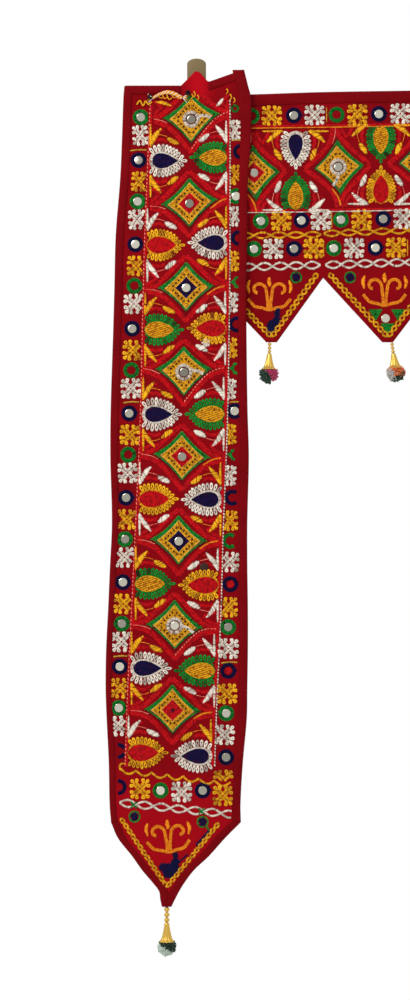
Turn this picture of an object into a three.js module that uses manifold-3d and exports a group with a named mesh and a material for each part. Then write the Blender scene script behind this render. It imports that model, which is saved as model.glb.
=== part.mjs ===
// Toran door hanging on its wall hook, in millimetres.
// +Z is up, the front faces -Y, and the wall is the plane Y = 0.
// The origin is the middle of the hook plate's back face.
// A long side panel with a pointed end hangs in front of a valance with two pointed flags.
import * as THREE from 'three';
import { mergeVertices } from 'three/addons/utils/BufferGeometryUtils.js';
import Module from 'manifold-3d';

const wasm = await Module();
wasm.setup();

// Driving dimensions
const CLOTH = 2.0; // an embroidered, lined cloth
const TAPE = 1.2; // a binding or a loop, folded twice
const GAP = 0.3; // left between pieces that touch
const SHOULDER_Z = -831; // where the side panel starts to narrow to its point
const TIP_Z = -926;
const PANEL_Y = -16; // middle of the side panel's cloth at the hook
const PANEL_SWING = 3; // how far the panel stands further out below the hook
const VALANCE_Y = -8;
const VALANCE_SWING = 3.2;
const FLAT_ABOVE = -30; // both cloths hang flat above this height, where the hook holds them
const LOOSE_BELOW = -150; // and take their full waves below this one
const MIRROR = { radius: 4.8, thickness: 1.0, sides: 12 };

// Side edges of the panel, and how wide its left and right bindings are, from the top down.
const PANEL_EDGES = [
  { z: 19, left: -80.8, right: 53.1, leftBand: 8.6, rightBand: 12.5 },
  { z: 1, left: -80.8, right: 57.6, leftBand: 8.6, rightBand: 12.5 },
  { z: -11, left: -81.7, right: 60.5, leftBand: 8.6, rightBand: 12.5 },
  { z: -59, left: -83.4, right: 60.5, leftBand: 8.6, rightBand: 11.0 },
  { z: -103, left: -85.3, right: 57.1, leftBand: 8.6, rightBand: 9.0 },
  { z: -167, left: -90.3, right: 56.5, leftBand: 8.0, rightBand: 8.0 },
  { z: -226, left: -91.8, right: 55.3, leftBand: 8.0, rightBand: 8.0 },
  { z: -277, left: -93.2, right: 55.5, leftBand: 8.0, rightBand: 8.0 },
  { z: -364, left: -96.1, right: 56.7, leftBand: 8.0, rightBand: 8.0 },
  { z: -419, left: -96.4, right: 58.2, leftBand: 7.5, rightBand: 8.5 },
  { z: -492, left: -94.6, right: 56.5, leftBand: 6.5, rightBand: 8.5 },
  { z: -542, left: -96.8, right: 56.5, leftBand: 6.0, rightBand: 8.5 },
  { z: -591, left: -98.9, right: 57.1, leftBand: 6.0, rightBand: 8.5 },
  { z: -634, left: -101.1, right: 57.1, leftBand: 6.0, rightBand: 8.5 },
  { z: -678, left: -101.8, right: 56.5, leftBand: 6.0, rightBand: 8.5 },
  { z: -713, left: -100.7, right: 55.9, leftBand: 6.0, rightBand: 8.5 },
  { z: -764, left: -98.2, right: 51.4, leftBand: 6.0, rightBand: 8.5 },
  { z: -811, left: -97.2, right: 48.8, leftBand: 6.0, rightBand: 8.5 },
  { z: SHOULDER_Z, left: -95.6, right: 49.2, leftBand: 6.0, rightBand: 8.5 },
];

// The same below the shoulders, where the bands are measured level, across their slant.
const POINT_EDGES = [
  { z: SHOULDER_Z, left: -95.6, right: 49.2, leftBand: 8.5, rightBand: 11.0 },
  { z: -849, left: -87.6, right: 31.1, leftBand: 8.5, rightBand: 11.0 },
  { z: -869, left: -71.8, right: 13.0, leftBand: 8.5, rightBand: 10.5 },
  { z: -885, left: -60.5, right: -4.0, leftBand: 8.5, rightBand: 10.5 },
  { z: -901, left: -46.9, right: -15.9, leftBand: 9.0, rightBand: 9.5 },
  { z: -909, left: -41.2, right: -20.7, leftBand: 9.0, rightBand: 9.5 },
  { z: -917, left: -40.1, right: -24.9, leftBand: 8.0, rightBand: 8.0 },
  { z: TIP_Z, left: -38.2, right: -29.2, leftBand: 5.0, rightBand: 5.0 },
];

// Top edge of the panel: it is drawn up in a peak at the hook, and its right corner stands high.
const PANEL_TOP = [
  { across: 0, z: 1.1 },
  { across: 0.45, z: 1.1 },
  { across: 0.59, z: 18.0 },
  { across: 0.625, z: 18.0 },
  { across: 0.69, z: 5.5 },
  { across: 1, z: 19.5 },
];
const PEAK = { start: 0.45, end: 0.69 };
const TOP_BAND = 9;
const PANEL_COLUMNS = [0, 0.075, 0.16, 0.25, 0.35, 0.45, 0.52, 0.59, 0.625, 0.69, 0.77, 0.85, 0.925, 1];

// Soft waves of a hanging cloth: how high each is, its length across and down, and its start.
const PANEL_WAVES = [
  { rise: 1.6, across: 900, down: 330, start: 0.4 },
  { rise: 0.7, across: 210, down: 170, start: 2.1 },
  { rise: 0.4, across: -120, down: 95, start: 4.0 },
];
const VALANCE_WAVES = [
  { rise: 0.5, across: 160, down: 700, start: 1.2 },
  { rise: 0.3, across: -75, down: 210, start: 0.3 },
];

// Two flags of the valance, left to right: their notches and the middle of their blunt tips.
const FLAGS = [
  { left: 9, tip: 85, right: 143.5 },
  { left: 143.5, tip: 216.5, right: 278 },
];
const FLAG = { tipZ: -288, notchZ: -215, bluntHalf: 6, columnsPerSide: 5 };
const VALANCE_TOP = [
  { x: 9, z: -7.9 },
  { x: 59, z: -7.7 },
  { x: 140, z: -5.1 },
  { x: 241, z: -3.4 },
  { x: 278, z: -2.8 },
];
const VALANCE_ROWS = 14;
const HEADING_BAND = 12;
const END_BAND = 8;

const HOOK = {
  width: 21.5,
  height: 70,
  thickness: 3,
  topRise: 6.5,
  rod: 2.5,
  armZ: -20.5,
  uprightTop: 5.5,
};

// Tassels: where the first bead's top touches the cloth, and the sizes of what hangs there.
const TASSELS = [
  { name: 'side', x: -33.5, z: TIP_Z, bead: 2.9, cap: 21.5, mouth: 7.9, pompom: 10.2, tilt: 0 },
  { name: 'flag_1', x: 82.9, z: FLAG.tipZ, bead: 2.5, cap: 16.5, mouth: 6.6, pompom: 10.6, tilt: -0.03 },
  { name: 'flag_2', x: 221.3, z: FLAG.tipZ, bead: 2.5, cap: 14.5, mouth: 6.4, pompom: 10.6, tilt: 0.13 },
];
const BEADS = 3;
const BEAD_BULGE = 1.08; // a bead is this much wider than it is high
const CAP = { neckShare: 0.34, rimShare: 0.8, hollow: 1.6, flutes: 10, press: 0.1, steps: 6, lip: 0.4 };
const LOCKS = {
  count: 44,
  rootRadius: 1.7,
  tipRadius: 1.3,
  core: 0.63, // of the pompom's radius
  highest: 0.42, // sine of the steepest upward lock, clear of the bell cap
  uneven: 0.07,
  seat: 1.0, // how far the core stands up into the cap's hollow mouth
};

// Mirrors of the side panel stand in a middle row of diamonds and in two border columns.
const DIAMONDS = { x: -6.4, z: -36.2, stepX: -3.13, stepZ: -95.4, mirrored: [0, 1, 2, 4, 5, 6] };
const BORDERS = [
  { name: 'left_green', x: -63.3, z: -33.9, stepX: -3.06, stepZ: -95.4, mirrored: [0, 1, 5, 6, 7] },
  { name: 'left_navy', x: -64.8, z: -82.5, stepX: -3.06, stepZ: -95.4, mirrored: [0, 1, 2, 3, 4, 5, 6] },
  { name: 'right_green', x: 41.7, z: -123.2, stepX: -1.55, stepZ: -97.4, mirrored: [0, 5, 6] },
  { name: 'right_navy', x: 42.4, z: -72.3, stepX: -1.55, stepZ: -97.7, mirrored: [3, 7] },
];
const FOOT_ROW = [
  { name: 'foot_green', x: -40.6, z: -795 },
  { name: 'foot_navy', x: 7.0, z: -795 },
];
const VALANCE_MIRRORS = [
  { name: 'valance_diamond_1', x: 65, z: -96.1 },
  { name: 'valance_diamond_2', x: 160.5, z: -89.3 },
  { name: 'valance_flag_2', x: 214.1, z: -261 },
];

// Twisted thread trim across the top of the panel, arched between its two knots.
const TRIM = { leftX: -49, rightX: -16.5, endZ: -12, archRise: 7, radius: 2.0, strands: 3, turns: 3.5 };

// Materials
const MATERIALS = {
  ground: new THREE.MeshStandardMaterial({ color: 0x910c16, roughness: 0.9, metalness: 0 }),
  binding: new THREE.MeshStandardMaterial({ color: 0x860a12, roughness: 0.9, metalness: 0 }),
  tape: new THREE.MeshStandardMaterial({ color: 0x7d0b12, roughness: 0.9, metalness: 0 }),
  thread: new THREE.MeshStandardMaterial({ color: 0xe8961e, roughness: 0.7, metalness: 0 }),
  yarn: new THREE.MeshStandardMaterial({ color: 0x14502d, roughness: 0.95, metalness: 0 }),
  brass: new THREE.MeshStandardMaterial({ color: 0xc8aa50, roughness: 0.35, metalness: 1 }),
  mirror: new THREE.MeshStandardMaterial({ color: 0xd2cdbe, roughness: 0.08, metalness: 1 }),
  hook: new THREE.MeshStandardMaterial({ color: 0x968764, roughness: 0.55, metalness: 0 }),
};

const toran = new THREE.Group();

function addMesh(parent, name, geometry, material) {
  const mesh = new THREE.Mesh(geometry, material);
  mesh.name = name;
  parent.add(mesh);
  return mesh;
}

// Value of one column of a table at a place between its rows, on a smooth curve through them.
function smoothRead(table, place, column, at) {
  const sign = Math.sign(table[table.length - 1][place] - table[0][place]);
  let k = 0;
  while (k < table.length - 2 && sign * (at - table[k + 1][place]) > 0) k += 1;
  const slope = (i) => {
    const before = table[Math.max(i - 1, 0)];
    const after = table[Math.min(i + 1, table.length - 1)];
    return (after[column] - before[column]) / (after[place] - before[place]);
  };
  const span = table[k + 1][place] - table[k][place];
  const t = THREE.MathUtils.clamp((at - table[k][place]) / span, 0, 1);
  const ease = t * t * (3 - 2 * t);
  return (
    table[k][column] * (1 - ease) +
    table[k + 1][column] * ease +
    span * slope(k) * t * (1 - t) * (1 - t) -
    span * slope(k + 1) * t * t * (1 - t)
  );
}

// The same on straight lines between the rows, for edges with real corners.
function straightRead(table, place, column, at) {
  let k = 0;
  while (k < table.length - 2 && at > table[k + 1][place]) k += 1;
  const t = (at - table[k][place]) / (table[k + 1][place] - table[k][place]);
  return THREE.MathUtils.lerp(table[k][column], table[k + 1][column], t);
}

function panelEdge(column, z) {
  const table = z >= SHOULDER_Z ? PANEL_EDGES : POINT_EDGES;
  return smoothRead(table, 'z', column, z);
}

// How far below the hook's hold a height is: 0 where the cloth is held flat, 1 where it is loose.
function looseness(z) {
  return THREE.MathUtils.smoothstep(-z, -FLAT_ABOVE, -LOOSE_BELOW);
}

function waveSum(waves, x, z) {
  return waves.reduce((sum, wave) => {
    const turn = 2 * Math.PI * (x / wave.across + z / wave.down);
    return sum + wave.rise * Math.sin(turn + wave.start);
  }, 0);
}

// Middle of the side panel's cloth and of the valance's cloth at a place on the wall.
function panelDepth(x, z) {
  return PANEL_Y - looseness(z) * (PANEL_SWING + waveSum(PANEL_WAVES, x, z));
}

function valanceDepth(x, z) {
  return VALANCE_Y - looseness(z) * (VALANCE_SWING + waveSum(VALANCE_WAVES, x, z));
}

// A closed sheet between two grids of points, the front one facing -Y, joined all round.
function closedSheet(columns, rows, pointAt, frontOffset, backOffset) {
  const positions = [];
  for (const offset of [frontOffset, backOffset]) {
    for (let j = 0; j <= rows; j += 1) {
      for (let i = 0; i <= columns; i += 1) {
        const point = pointAt(i, j);
        positions.push(point.x, point.y + offset, point.z);
      }
    }
  }
  const layer = (columns + 1) * (rows + 1);
  const front = (i, j) => j * (columns + 1) + i;
  const back = (i, j) => layer + front(i, j);
  const faces = [];
  const quad = (a, b, c, d) => faces.push(a, b, c, a, c, d);
  for (let j = 0; j < rows; j += 1) {
    for (let i = 0; i < columns; i += 1) {
      quad(front(i, j), front(i, j + 1), front(i + 1, j + 1), front(i + 1, j));
      quad(back(i, j), back(i + 1, j), back(i + 1, j + 1), back(i, j + 1));
    }
    quad(front(0, j), back(0, j), back(0, j + 1), front(0, j + 1));
    quad(front(columns, j), front(columns, j + 1), back(columns, j + 1), back(columns, j));
  }
  for (let i = 0; i < columns; i += 1) {
    quad(front(i, 0), front(i + 1, 0), back(i + 1, 0), back(i, 0));
    quad(front(i, rows), back(i, rows), back(i + 1, rows), front(i + 1, rows));
  }
  const geometry = new THREE.BufferGeometry();
  geometry.setAttribute('position', new THREE.Float32BufferAttribute(positions, 3));
  geometry.setIndex(faces);
  geometry.computeVertexNormals();
  return geometry;
}

const CLOTH_FRONT = -CLOTH / 2;
const CLOTH_BACK = CLOTH / 2;
const BAND_BACK = CLOTH_FRONT - GAP;
const BAND_FRONT = BAND_BACK - TAPE;

// Side panel

const PANEL_ROWS = { body: 56, point: 10 };

// A height for each row: rows follow the slanting top edge and level out at the shoulders.
function panelRowZ(across, row) {
  if (row >= PANEL_ROWS.body) {
    return THREE.MathUtils.lerp(SHOULDER_Z, TIP_Z, (row - PANEL_ROWS.body) / PANEL_ROWS.point);
  }
  const top = straightRead(PANEL_TOP, 'across', 'z', across);
  return THREE.MathUtils.lerp(top, SHOULDER_Z, row / PANEL_ROWS.body);
}

function onPanel(x, z) {
  return { x, y: panelDepth(x, z), z };
}

function panelPoint(across, row) {
  const z = panelRowZ(across, row);
  const x = THREE.MathUtils.lerp(panelEdge('left', z), panelEdge('right', z), across);
  return onPanel(x, z);
}

function makePanel() {
  const rows = PANEL_ROWS.body + PANEL_ROWS.point;
  const pointAt = (i, j) => panelPoint(PANEL_COLUMNS[i], j);
  const geometry = closedSheet(PANEL_COLUMNS.length - 1, rows, pointAt, CLOTH_FRONT, CLOTH_BACK);
  addMesh(toran, 'side_panel', geometry, MATERIALS.ground);
}

// A binding along the left or right edge, over the body rows or the point rows.
function makeSideBinding(name, side, firstRow, lastRow) {
  const isLeft = side === 'left';
  const pointAt = (i, j) => {
    const z = panelRowZ(isLeft ? 0 : 1, firstRow + j) - (j === 0 && firstRow > 0 ? GAP : 0);
    const half = (panelEdge('right', z) - panelEdge('left', z) - GAP) / 2;
    const band = Math.min(panelEdge(isLeft ? 'leftBand' : 'rightBand', z), half);
    const outer = panelEdge(side, z);
    const x = isLeft ? outer + i * band : outer - (1 - i) * band;
    return onPanel(x, z);
  };
  const geometry = closedSheet(1, lastRow - firstRow, pointAt, BAND_FRONT, BAND_BACK);
  addMesh(toran, name, geometry, MATERIALS.binding);
}

// A binding under the top edge, between one side binding and the peak.
function makeTopBinding(name, startX, endX, columns) {
  const pointAt = (i, j) => {
    const x = THREE.MathUtils.lerp(startX, endX, i / columns);
    const left = panelEdge('left', 0);
    const across = (x - left) / (panelEdge('right', 0) - left);
    return onPanel(x, straightRead(PANEL_TOP, 'across', 'z', across) - j * TOP_BAND - GAP);
  };
  addMesh(toran, name, closedSheet(columns, 1, pointAt, BAND_FRONT, BAND_BACK), MATERIALS.binding);
}

function makePanelBindings() {
  const { body, point } = PANEL_ROWS;
  for (const side of ['left', 'right']) {
    makeSideBinding(`binding_${side}`, side, 0, body);
    makeSideBinding(`binding_point_${side}`, side, body, body + point);
  }
  const left = panelEdge('left', 0);
  const width = panelEdge('right', 0) - left;
  const innerLeft = left + panelEdge('leftBand', 0) + 2 * GAP;
  const cornerZ = PANEL_TOP[PANEL_TOP.length - 1].z;
  const innerRight = panelEdge('right', cornerZ) - panelEdge('rightBand', cornerZ) - 2 * GAP;
  makeTopBinding('binding_top_left', innerLeft, left + width * PEAK.start, 5);
  makeTopBinding('binding_top_right', left + width * PEAK.end, innerRight, 4);
}

// Valance

// Stops across both flags, with two at each blunt tip.
function valanceStops() {
  const stops = [FLAGS[0].left];
  for (const flag of FLAGS) {
    for (const [from, to] of [
      [flag.left, flag.tip - FLAG.bluntHalf],
      [flag.tip + FLAG.bluntHalf, flag.right],
    ]) {
      if (from > stops[stops.length - 1]) stops.push(from);
      for (let k = 1; k <= FLAG.columnsPerSide; k += 1) {
        stops.push(THREE.MathUtils.lerp(from, to, k / FLAG.columnsPerSide));
      }
    }
  }
  return stops;
}

// Lower edge: down each flag's side to its blunt tip and up again.
function flagEdgeZ(x) {
  const flag = x <= FLAGS[0].right ? FLAGS[0] : FLAGS[1];
  const isLeft = x < flag.tip;
  const fromTip = Math.abs(x - flag.tip) - FLAG.bluntHalf;
  const run = (isLeft ? flag.tip - flag.left : flag.right - flag.tip) - FLAG.bluntHalf;
  const t = THREE.MathUtils.clamp(fromTip / run, 0, 1);
  return THREE.MathUtils.lerp(FLAG.tipZ, FLAG.notchZ, t);
}

function valanceTopZ(x) {
  return smoothRead(VALANCE_TOP, 'x', 'z', x);
}

function onValance(x, z) {
  return { x, y: valanceDepth(x, z), z };
}

function makeValance() {
  const stops = valanceStops();
  const pointAt = (i, j) => {
    const x = stops[i];
    return onValance(x, THREE.MathUtils.lerp(valanceTopZ(x), flagEdgeZ(x), j / VALANCE_ROWS));
  };
  const geometry = closedSheet(stops.length - 1, VALANCE_ROWS, pointAt, CLOTH_FRONT, CLOTH_BACK);
  addMesh(toran, 'valance', geometry, MATERIALS.ground);

  const endX = FLAGS[1].right - END_BAND;
  const headingStops = stops.filter((x) => x < endX - GAP).concat(endX - GAP);
  const headingAt = (i, j) => {
    const x = headingStops[i];
    return onValance(x, valanceTopZ(x) - j * HEADING_BAND);
  };
  const heading = closedSheet(headingStops.length - 1, 1, headingAt, BAND_FRONT, BAND_BACK);
  addMesh(toran, 'valance_heading', heading, MATERIALS.binding);

  const endAt = (i, j) => {
    const x = endX + i * END_BAND;
    return onValance(x, THREE.MathUtils.lerp(valanceTopZ(x), flagEdgeZ(x) + GAP, j / VALANCE_ROWS));
  };
  const end = closedSheet(1, VALANCE_ROWS, endAt, BAND_FRONT, BAND_BACK);
  addMesh(toran, 'valance_end_binding', end, MATERIALS.binding);
}

// Loops of tape round the hook's upright rod

const LOOP = { inner: HOOK.rod + GAP, outer: HOOK.rod + GAP + TAPE, arcSteps: 10 };
const VALANCE_LOOP = { low: HOOK.armZ + HOOK.rod + GAP, height: 7, tailX: 26, bendX: 10 };
const PANEL_LOOP = { low: VALANCE_LOOP.low + VALANCE_LOOP.height + GAP, height: 12, footX: 12 };

function upright(shape, low, height) {
  const settings = { depth: height, bevelEnabled: false, curveSegments: LOOP.arcSteps };
  return new THREE.ExtrudeGeometry(shape, settings).translate(0, 0, low);
}

// It goes round the rod's left side and is sewn on both faces of the heading's left end.
function makeValanceLoop() {
  const y = VALANCE_Y;
  const shape = new THREE.Shape();
  const backFace = y + CLOTH_BACK + GAP;
  shape.absarc(0, y, LOOP.outer, Math.PI / 2, (3 * Math.PI) / 2, false);
  shape.lineTo(VALANCE_LOOP.tailX, y - LOOP.outer);
  shape.lineTo(VALANCE_LOOP.tailX, y - LOOP.inner);
  shape.lineTo(0, y - LOOP.inner);
  shape.absarc(0, y, LOOP.inner, (3 * Math.PI) / 2, Math.PI / 2, true);
  shape.lineTo(VALANCE_LOOP.bendX, backFace);
  shape.lineTo(VALANCE_LOOP.tailX, backFace);
  shape.lineTo(VALANCE_LOOP.tailX, backFace + TAPE);
  shape.lineTo(VALANCE_LOOP.bendX, backFace + TAPE);
  shape.closePath();
  addMesh(toran, 'valance_loop', upright(shape, VALANCE_LOOP.low, VALANCE_LOOP.height), MATERIALS.tape);
}

// It goes round the rod's wall side and its two feet are sewn on the panel's back.
function makePanelLoop() {
  const footFront = PANEL_Y + CLOTH_BACK + GAP;
  const footBack = footFront + TAPE;
  const { footX } = PANEL_LOOP;
  const shape = new THREE.Shape();
  shape.absarc(0, VALANCE_Y, LOOP.outer, 0, Math.PI, false);
  shape.lineTo(-LOOP.outer, footBack);
  shape.lineTo(-footX, footBack);
  shape.lineTo(-footX, footFront);
  shape.lineTo(-LOOP.inner, footFront);
  shape.lineTo(-LOOP.inner, VALANCE_Y);
  shape.absarc(0, VALANCE_Y, LOOP.inner, Math.PI, 0, true);
  shape.lineTo(LOOP.inner, footFront);
  shape.lineTo(footX, footFront);
  shape.lineTo(footX, footBack);
  shape.lineTo(LOOP.outer, footBack);
  shape.closePath();
  addMesh(toran, 'hanging_loop', upright(shape, PANEL_LOOP.low, PANEL_LOOP.height), MATERIALS.tape);
}

// Boolean joining

function toSolid(geometry) {
  const plain = geometry.clone();
  plain.deleteAttribute('normal');
  plain.deleteAttribute('uv');
  const merged = mergeVertices(plain, 1e-4);
  return new wasm.Manifold(
    new wasm.Mesh({
      numProp: 3,
      vertProperties: merged.attributes.position.array,
      triVerts: new Uint32Array(merged.index.array),
    }),
  );
}

function joined(geometries) {
  const mesh = geometries
    .map(toSolid)
    .reduce((whole, piece) => whole.add(piece))
    .getMesh();
  const geometry = new THREE.BufferGeometry();
  geometry.setAttribute('position', new THREE.BufferAttribute(mesh.vertProperties, 3));
  geometry.setIndex(new THREE.BufferAttribute(mesh.triVerts, 1));
  geometry.computeVertexNormals();
  return geometry;
}

// Wall hook: a plate with a round top, a short arm and an upright rod with round ends.

function makeHook() {
  const half = HOOK.width / 2;
  const top = HOOK.height / 2;
  const radius = (half * half + HOOK.topRise * HOOK.topRise) / (2 * HOOK.topRise);
  const start = Math.acos(half / radius);
  const plateShape = new THREE.Shape();
  plateShape.moveTo(-half, -top);
  plateShape.lineTo(half, -top);
  plateShape.absarc(0, top - radius, radius, start, Math.PI - start, false);
  plateShape.closePath();
  const settings = { depth: HOOK.thickness, bevelEnabled: false, curveSegments: 12 };
  // The shape's plane is turned upright, so that the plate's back lies on the wall.
  const plate = new THREE.ExtrudeGeometry(plateShape, settings).rotateX(Math.PI / 2);
  const sides = 14;
  const armLength = -VALANCE_Y - HOOK.thickness / 2;
  const arm = new THREE.CylinderGeometry(HOOK.rod, HOOK.rod, armLength, sides);
  arm.translate(0, VALANCE_Y + armLength / 2, HOOK.armZ);
  const elbow = new THREE.SphereGeometry(HOOK.rod, sides, 10).rotateX(Math.PI / 2);
  elbow.translate(0, VALANCE_Y, HOOK.armZ);
  const rodLength = HOOK.uprightTop - HOOK.armZ;
  const rod = new THREE.CylinderGeometry(HOOK.rod, HOOK.rod, rodLength, sides).rotateX(Math.PI / 2);
  rod.translate(0, VALANCE_Y, HOOK.armZ + rodLength / 2);
  const end = new THREE.SphereGeometry(HOOK.rod, sides, 10).rotateX(Math.PI / 2);
  end.translate(0, VALANCE_Y, HOOK.uprightTop);
  addMesh(toran, 'wall_hook', joined([plate, arm, elbow, rod, end]), MATERIALS.hook);
}

// Mirrors, laid flat on the cloth's front

function makeMirror(name, x, z, depthAt) {
  const step = MIRROR.radius;
  const slopeX = (depthAt(x + step, z) - depthAt(x - step, z)) / (2 * step);
  const slopeZ = (depthAt(x, z + step) - depthAt(x, z - step)) / (2 * step);
  const outward = new THREE.Vector3(slopeX, -1, slopeZ).normalize();
  const { radius, thickness, sides } = MIRROR;
  const mesh = addMesh(
    toran,
    `mirror_${name}`,
    new THREE.CylinderGeometry(radius, radius, thickness, sides),
    MATERIALS.mirror,
  );
  mesh.quaternion.setFromUnitVectors(new THREE.Vector3(0, 1, 0), outward);
  mesh.position.set(x, depthAt(x, z) + CLOTH_FRONT, z);
  mesh.position.addScaledVector(outward, GAP + thickness / 2);
}

function makeMirrors() {
  const rows = [{ name: 'diamond', ...DIAMONDS }, ...BORDERS];
  for (const row of rows) {
    for (const k of row.mirrored) {
      makeMirror(`${row.name}_${k + 1}`, row.x + k * row.stepX, row.z + k * row.stepZ, panelDepth);
    }
  }
  for (const { name, x, z } of FOOT_ROW) makeMirror(name, x, z, panelDepth);
  for (const { name, x, z } of VALANCE_MIRRORS) makeMirror(name, x, z, valanceDepth);
}

// Tassels: beads, a fluted bell cap and a pompom, one below the other

function bead(radius) {
  const ball = new THREE.SphereGeometry(radius * BEAD_BULGE, 10, 7);
  return ball.rotateX(Math.PI / 2).scale(1, 1, 1 / BEAD_BULGE);
}

// A bell with its top at height 0: flutes deepen towards the mouth, which is slightly hollow.
function bellCap(length, mouth) {
  const neck = mouth * CAP.neckShare;
  const profile = [new THREE.Vector2(0, 0)];
  for (let k = 0; k <= CAP.steps; k += 1) {
    const t = k / CAP.steps;
    const flare = 0.25 * t + 0.75 * t * t;
    const radius = THREE.MathUtils.lerp(neck, mouth, flare);
    profile.push(new THREE.Vector2(radius, -THREE.MathUtils.lerp(CAP.lip, length, t)));
  }
  profile.push(new THREE.Vector2(mouth * CAP.rimShare, -length));
  profile.push(new THREE.Vector2(0, -length + CAP.hollow));
  const geometry = new THREE.LatheGeometry(profile.reverse(), 2 * CAP.flutes);
  const position = geometry.attributes.position;
  for (let i = 0; i < position.count; i += 1) {
    const radius = Math.hypot(position.getX(i), position.getZ(i));
    const angle = Math.atan2(position.getZ(i), position.getX(i));
    const down = THREE.MathUtils.clamp(-position.getY(i) / length, 0, 1);
    const pressed = 1 - CAP.press * down * (0.5 - 0.5 * Math.cos(CAP.flutes * angle));
    position.setX(i, radius * pressed * Math.cos(angle));
    position.setZ(i, radius * pressed * Math.sin(angle));
  }
  return geometry.rotateX(Math.PI / 2);
}

// A ball core with blunt four-sided locks on all of it that the bell cap leaves free.
function pompom(radius) {
  const core = radius * LOCKS.core;
  const pieces = [new THREE.IcosahedronGeometry(core, 1)];
  const up = new THREE.Vector3(0, 1, 0);
  const golden = Math.PI * (3 - Math.sqrt(5));
  for (let k = 0; k < LOCKS.count; k += 1) {
    const height = -1 + ((1 + LOCKS.highest) * (k + 0.5)) / LOCKS.count;
    const flat = Math.sqrt(1 - height * height);
    const angle = golden * k;
    const way = new THREE.Vector3(flat * Math.cos(angle), flat * Math.sin(angle), height);
    const reach = radius * (1 - LOCKS.uneven * (1 - Math.sin(7 * angle)));
    const root = core * 0.8;
    const lock = new THREE.CylinderGeometry(LOCKS.tipRadius, LOCKS.rootRadius, reach - root, 4);
    lock.applyQuaternion(new THREE.Quaternion().setFromUnitVectors(up, way));
    const middle = way.clone().multiplyScalar((reach + root) / 2);
    pieces.push(lock.translate(middle.x, middle.y, middle.z));
  }
  return joined(pieces);
}

function makeTassel(tassel, depthAt) {
  const group = new THREE.Group();
  group.position.set(tassel.x, depthAt(tassel.x, tassel.z), tassel.z);
  group.rotation.y = -tassel.tilt;
  toran.add(group);
  const step = 2 * tassel.bead + GAP;
  for (let k = 0; k < BEADS; k += 1) {
    const mesh = addMesh(group, `bead_${tassel.name}_${k + 1}`, bead(tassel.bead), MATERIALS.brass);
    mesh.position.z = -GAP - tassel.bead - k * step;
  }
  const capTop = -GAP - BEADS * step;
  const cap = addMesh(group, `bell_${tassel.name}`, bellCap(tassel.cap, tassel.mouth), MATERIALS.brass);
  cap.position.z = capTop;
  const ball = addMesh(group, `pompom_${tassel.name}`, pompom(tassel.pompom), MATERIALS.yarn);
  ball.position.z = capTop - tassel.cap - tassel.pompom * LOCKS.core + LOCKS.seat;
}

// Twisted thread trim: round strands laid together, turning as they run along an arch.
function makeTrim() {
  const steps = 28;
  const sides = 12;
  const middle = (TRIM.leftX + TRIM.rightX) / 2;
  const half = (TRIM.rightX - TRIM.leftX) / 2;
  const positions = [];
  const centreAt = (t) => {
    const x = THREE.MathUtils.lerp(TRIM.leftX, TRIM.rightX, t);
    const arch = 1 - ((x - middle) / half) ** 2;
    const z = TRIM.endZ + TRIM.archRise * arch;
    return { x, y: panelDepth(x, z) + BAND_FRONT - GAP - TRIM.radius * 1.15, z };
  };
  for (let i = 0; i <= steps; i += 1) {
    const t = i / steps;
    const centre = centreAt(t);
    const taper = 0.45 + 0.55 * Math.sqrt(Math.sin(Math.PI * THREE.MathUtils.clamp(t, 0.02, 0.98)));
    for (let k = 0; k < sides; k += 1) {
      const angle = (2 * Math.PI * k) / sides;
      const strand = 1 + 0.15 * Math.cos(TRIM.strands * (angle - 2 * Math.PI * TRIM.turns * t));
      const radius = TRIM.radius * taper * strand;
      positions.push(centre.x, centre.y + radius * Math.cos(angle), centre.z + radius * Math.sin(angle));
    }
  }
  const first = positions.length / 3;
  const startCentre = centreAt(0);
  const endCentre = centreAt(1);
  positions.push(startCentre.x, startCentre.y, startCentre.z, endCentre.x, endCentre.y, endCentre.z);
  const faces = [];
  for (let k = 0; k < sides; k += 1) {
    const next = (k + 1) % sides;
    for (let i = 0; i < steps; i += 1) {
      const a = i * sides;
      const b = a + sides;
      faces.push(a + k, a + next, b + next, a + k, b + next, b + k);
    }
    faces.push(first, next, k, first + 1, steps * sides + k, steps * sides + next);
  }
  const geometry = new THREE.BufferGeometry();
  geometry.setAttribute('position', new THREE.Float32BufferAttribute(positions, 3));
  geometry.setIndex(faces);
  geometry.computeVertexNormals();
  addMesh(toran, 'twisted_trim', geometry, MATERIALS.thread);
}

makeHook();
makeValance();
makeValanceLoop();
makePanel();
makePanelBindings();
makePanelLoop();
makeMirrors();
makeTrim();
makeTassel(TASSELS[0], panelDepth);
makeTassel(TASSELS[1], valanceDepth);
makeTassel(TASSELS[2], valanceDepth);

export default toran;
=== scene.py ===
# %% [markdown]
# A toran is an embroidered hanging for a doorway. This lesson dresses one end of it: a long
# side panel with a pointed end, in front of a valance with two flags, on a plain wall hook.
# Everything sewn on it, from a chain stitch to a looped petal, is laid on the cloth by numpy.

# %% Load the frame
import math

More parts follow.
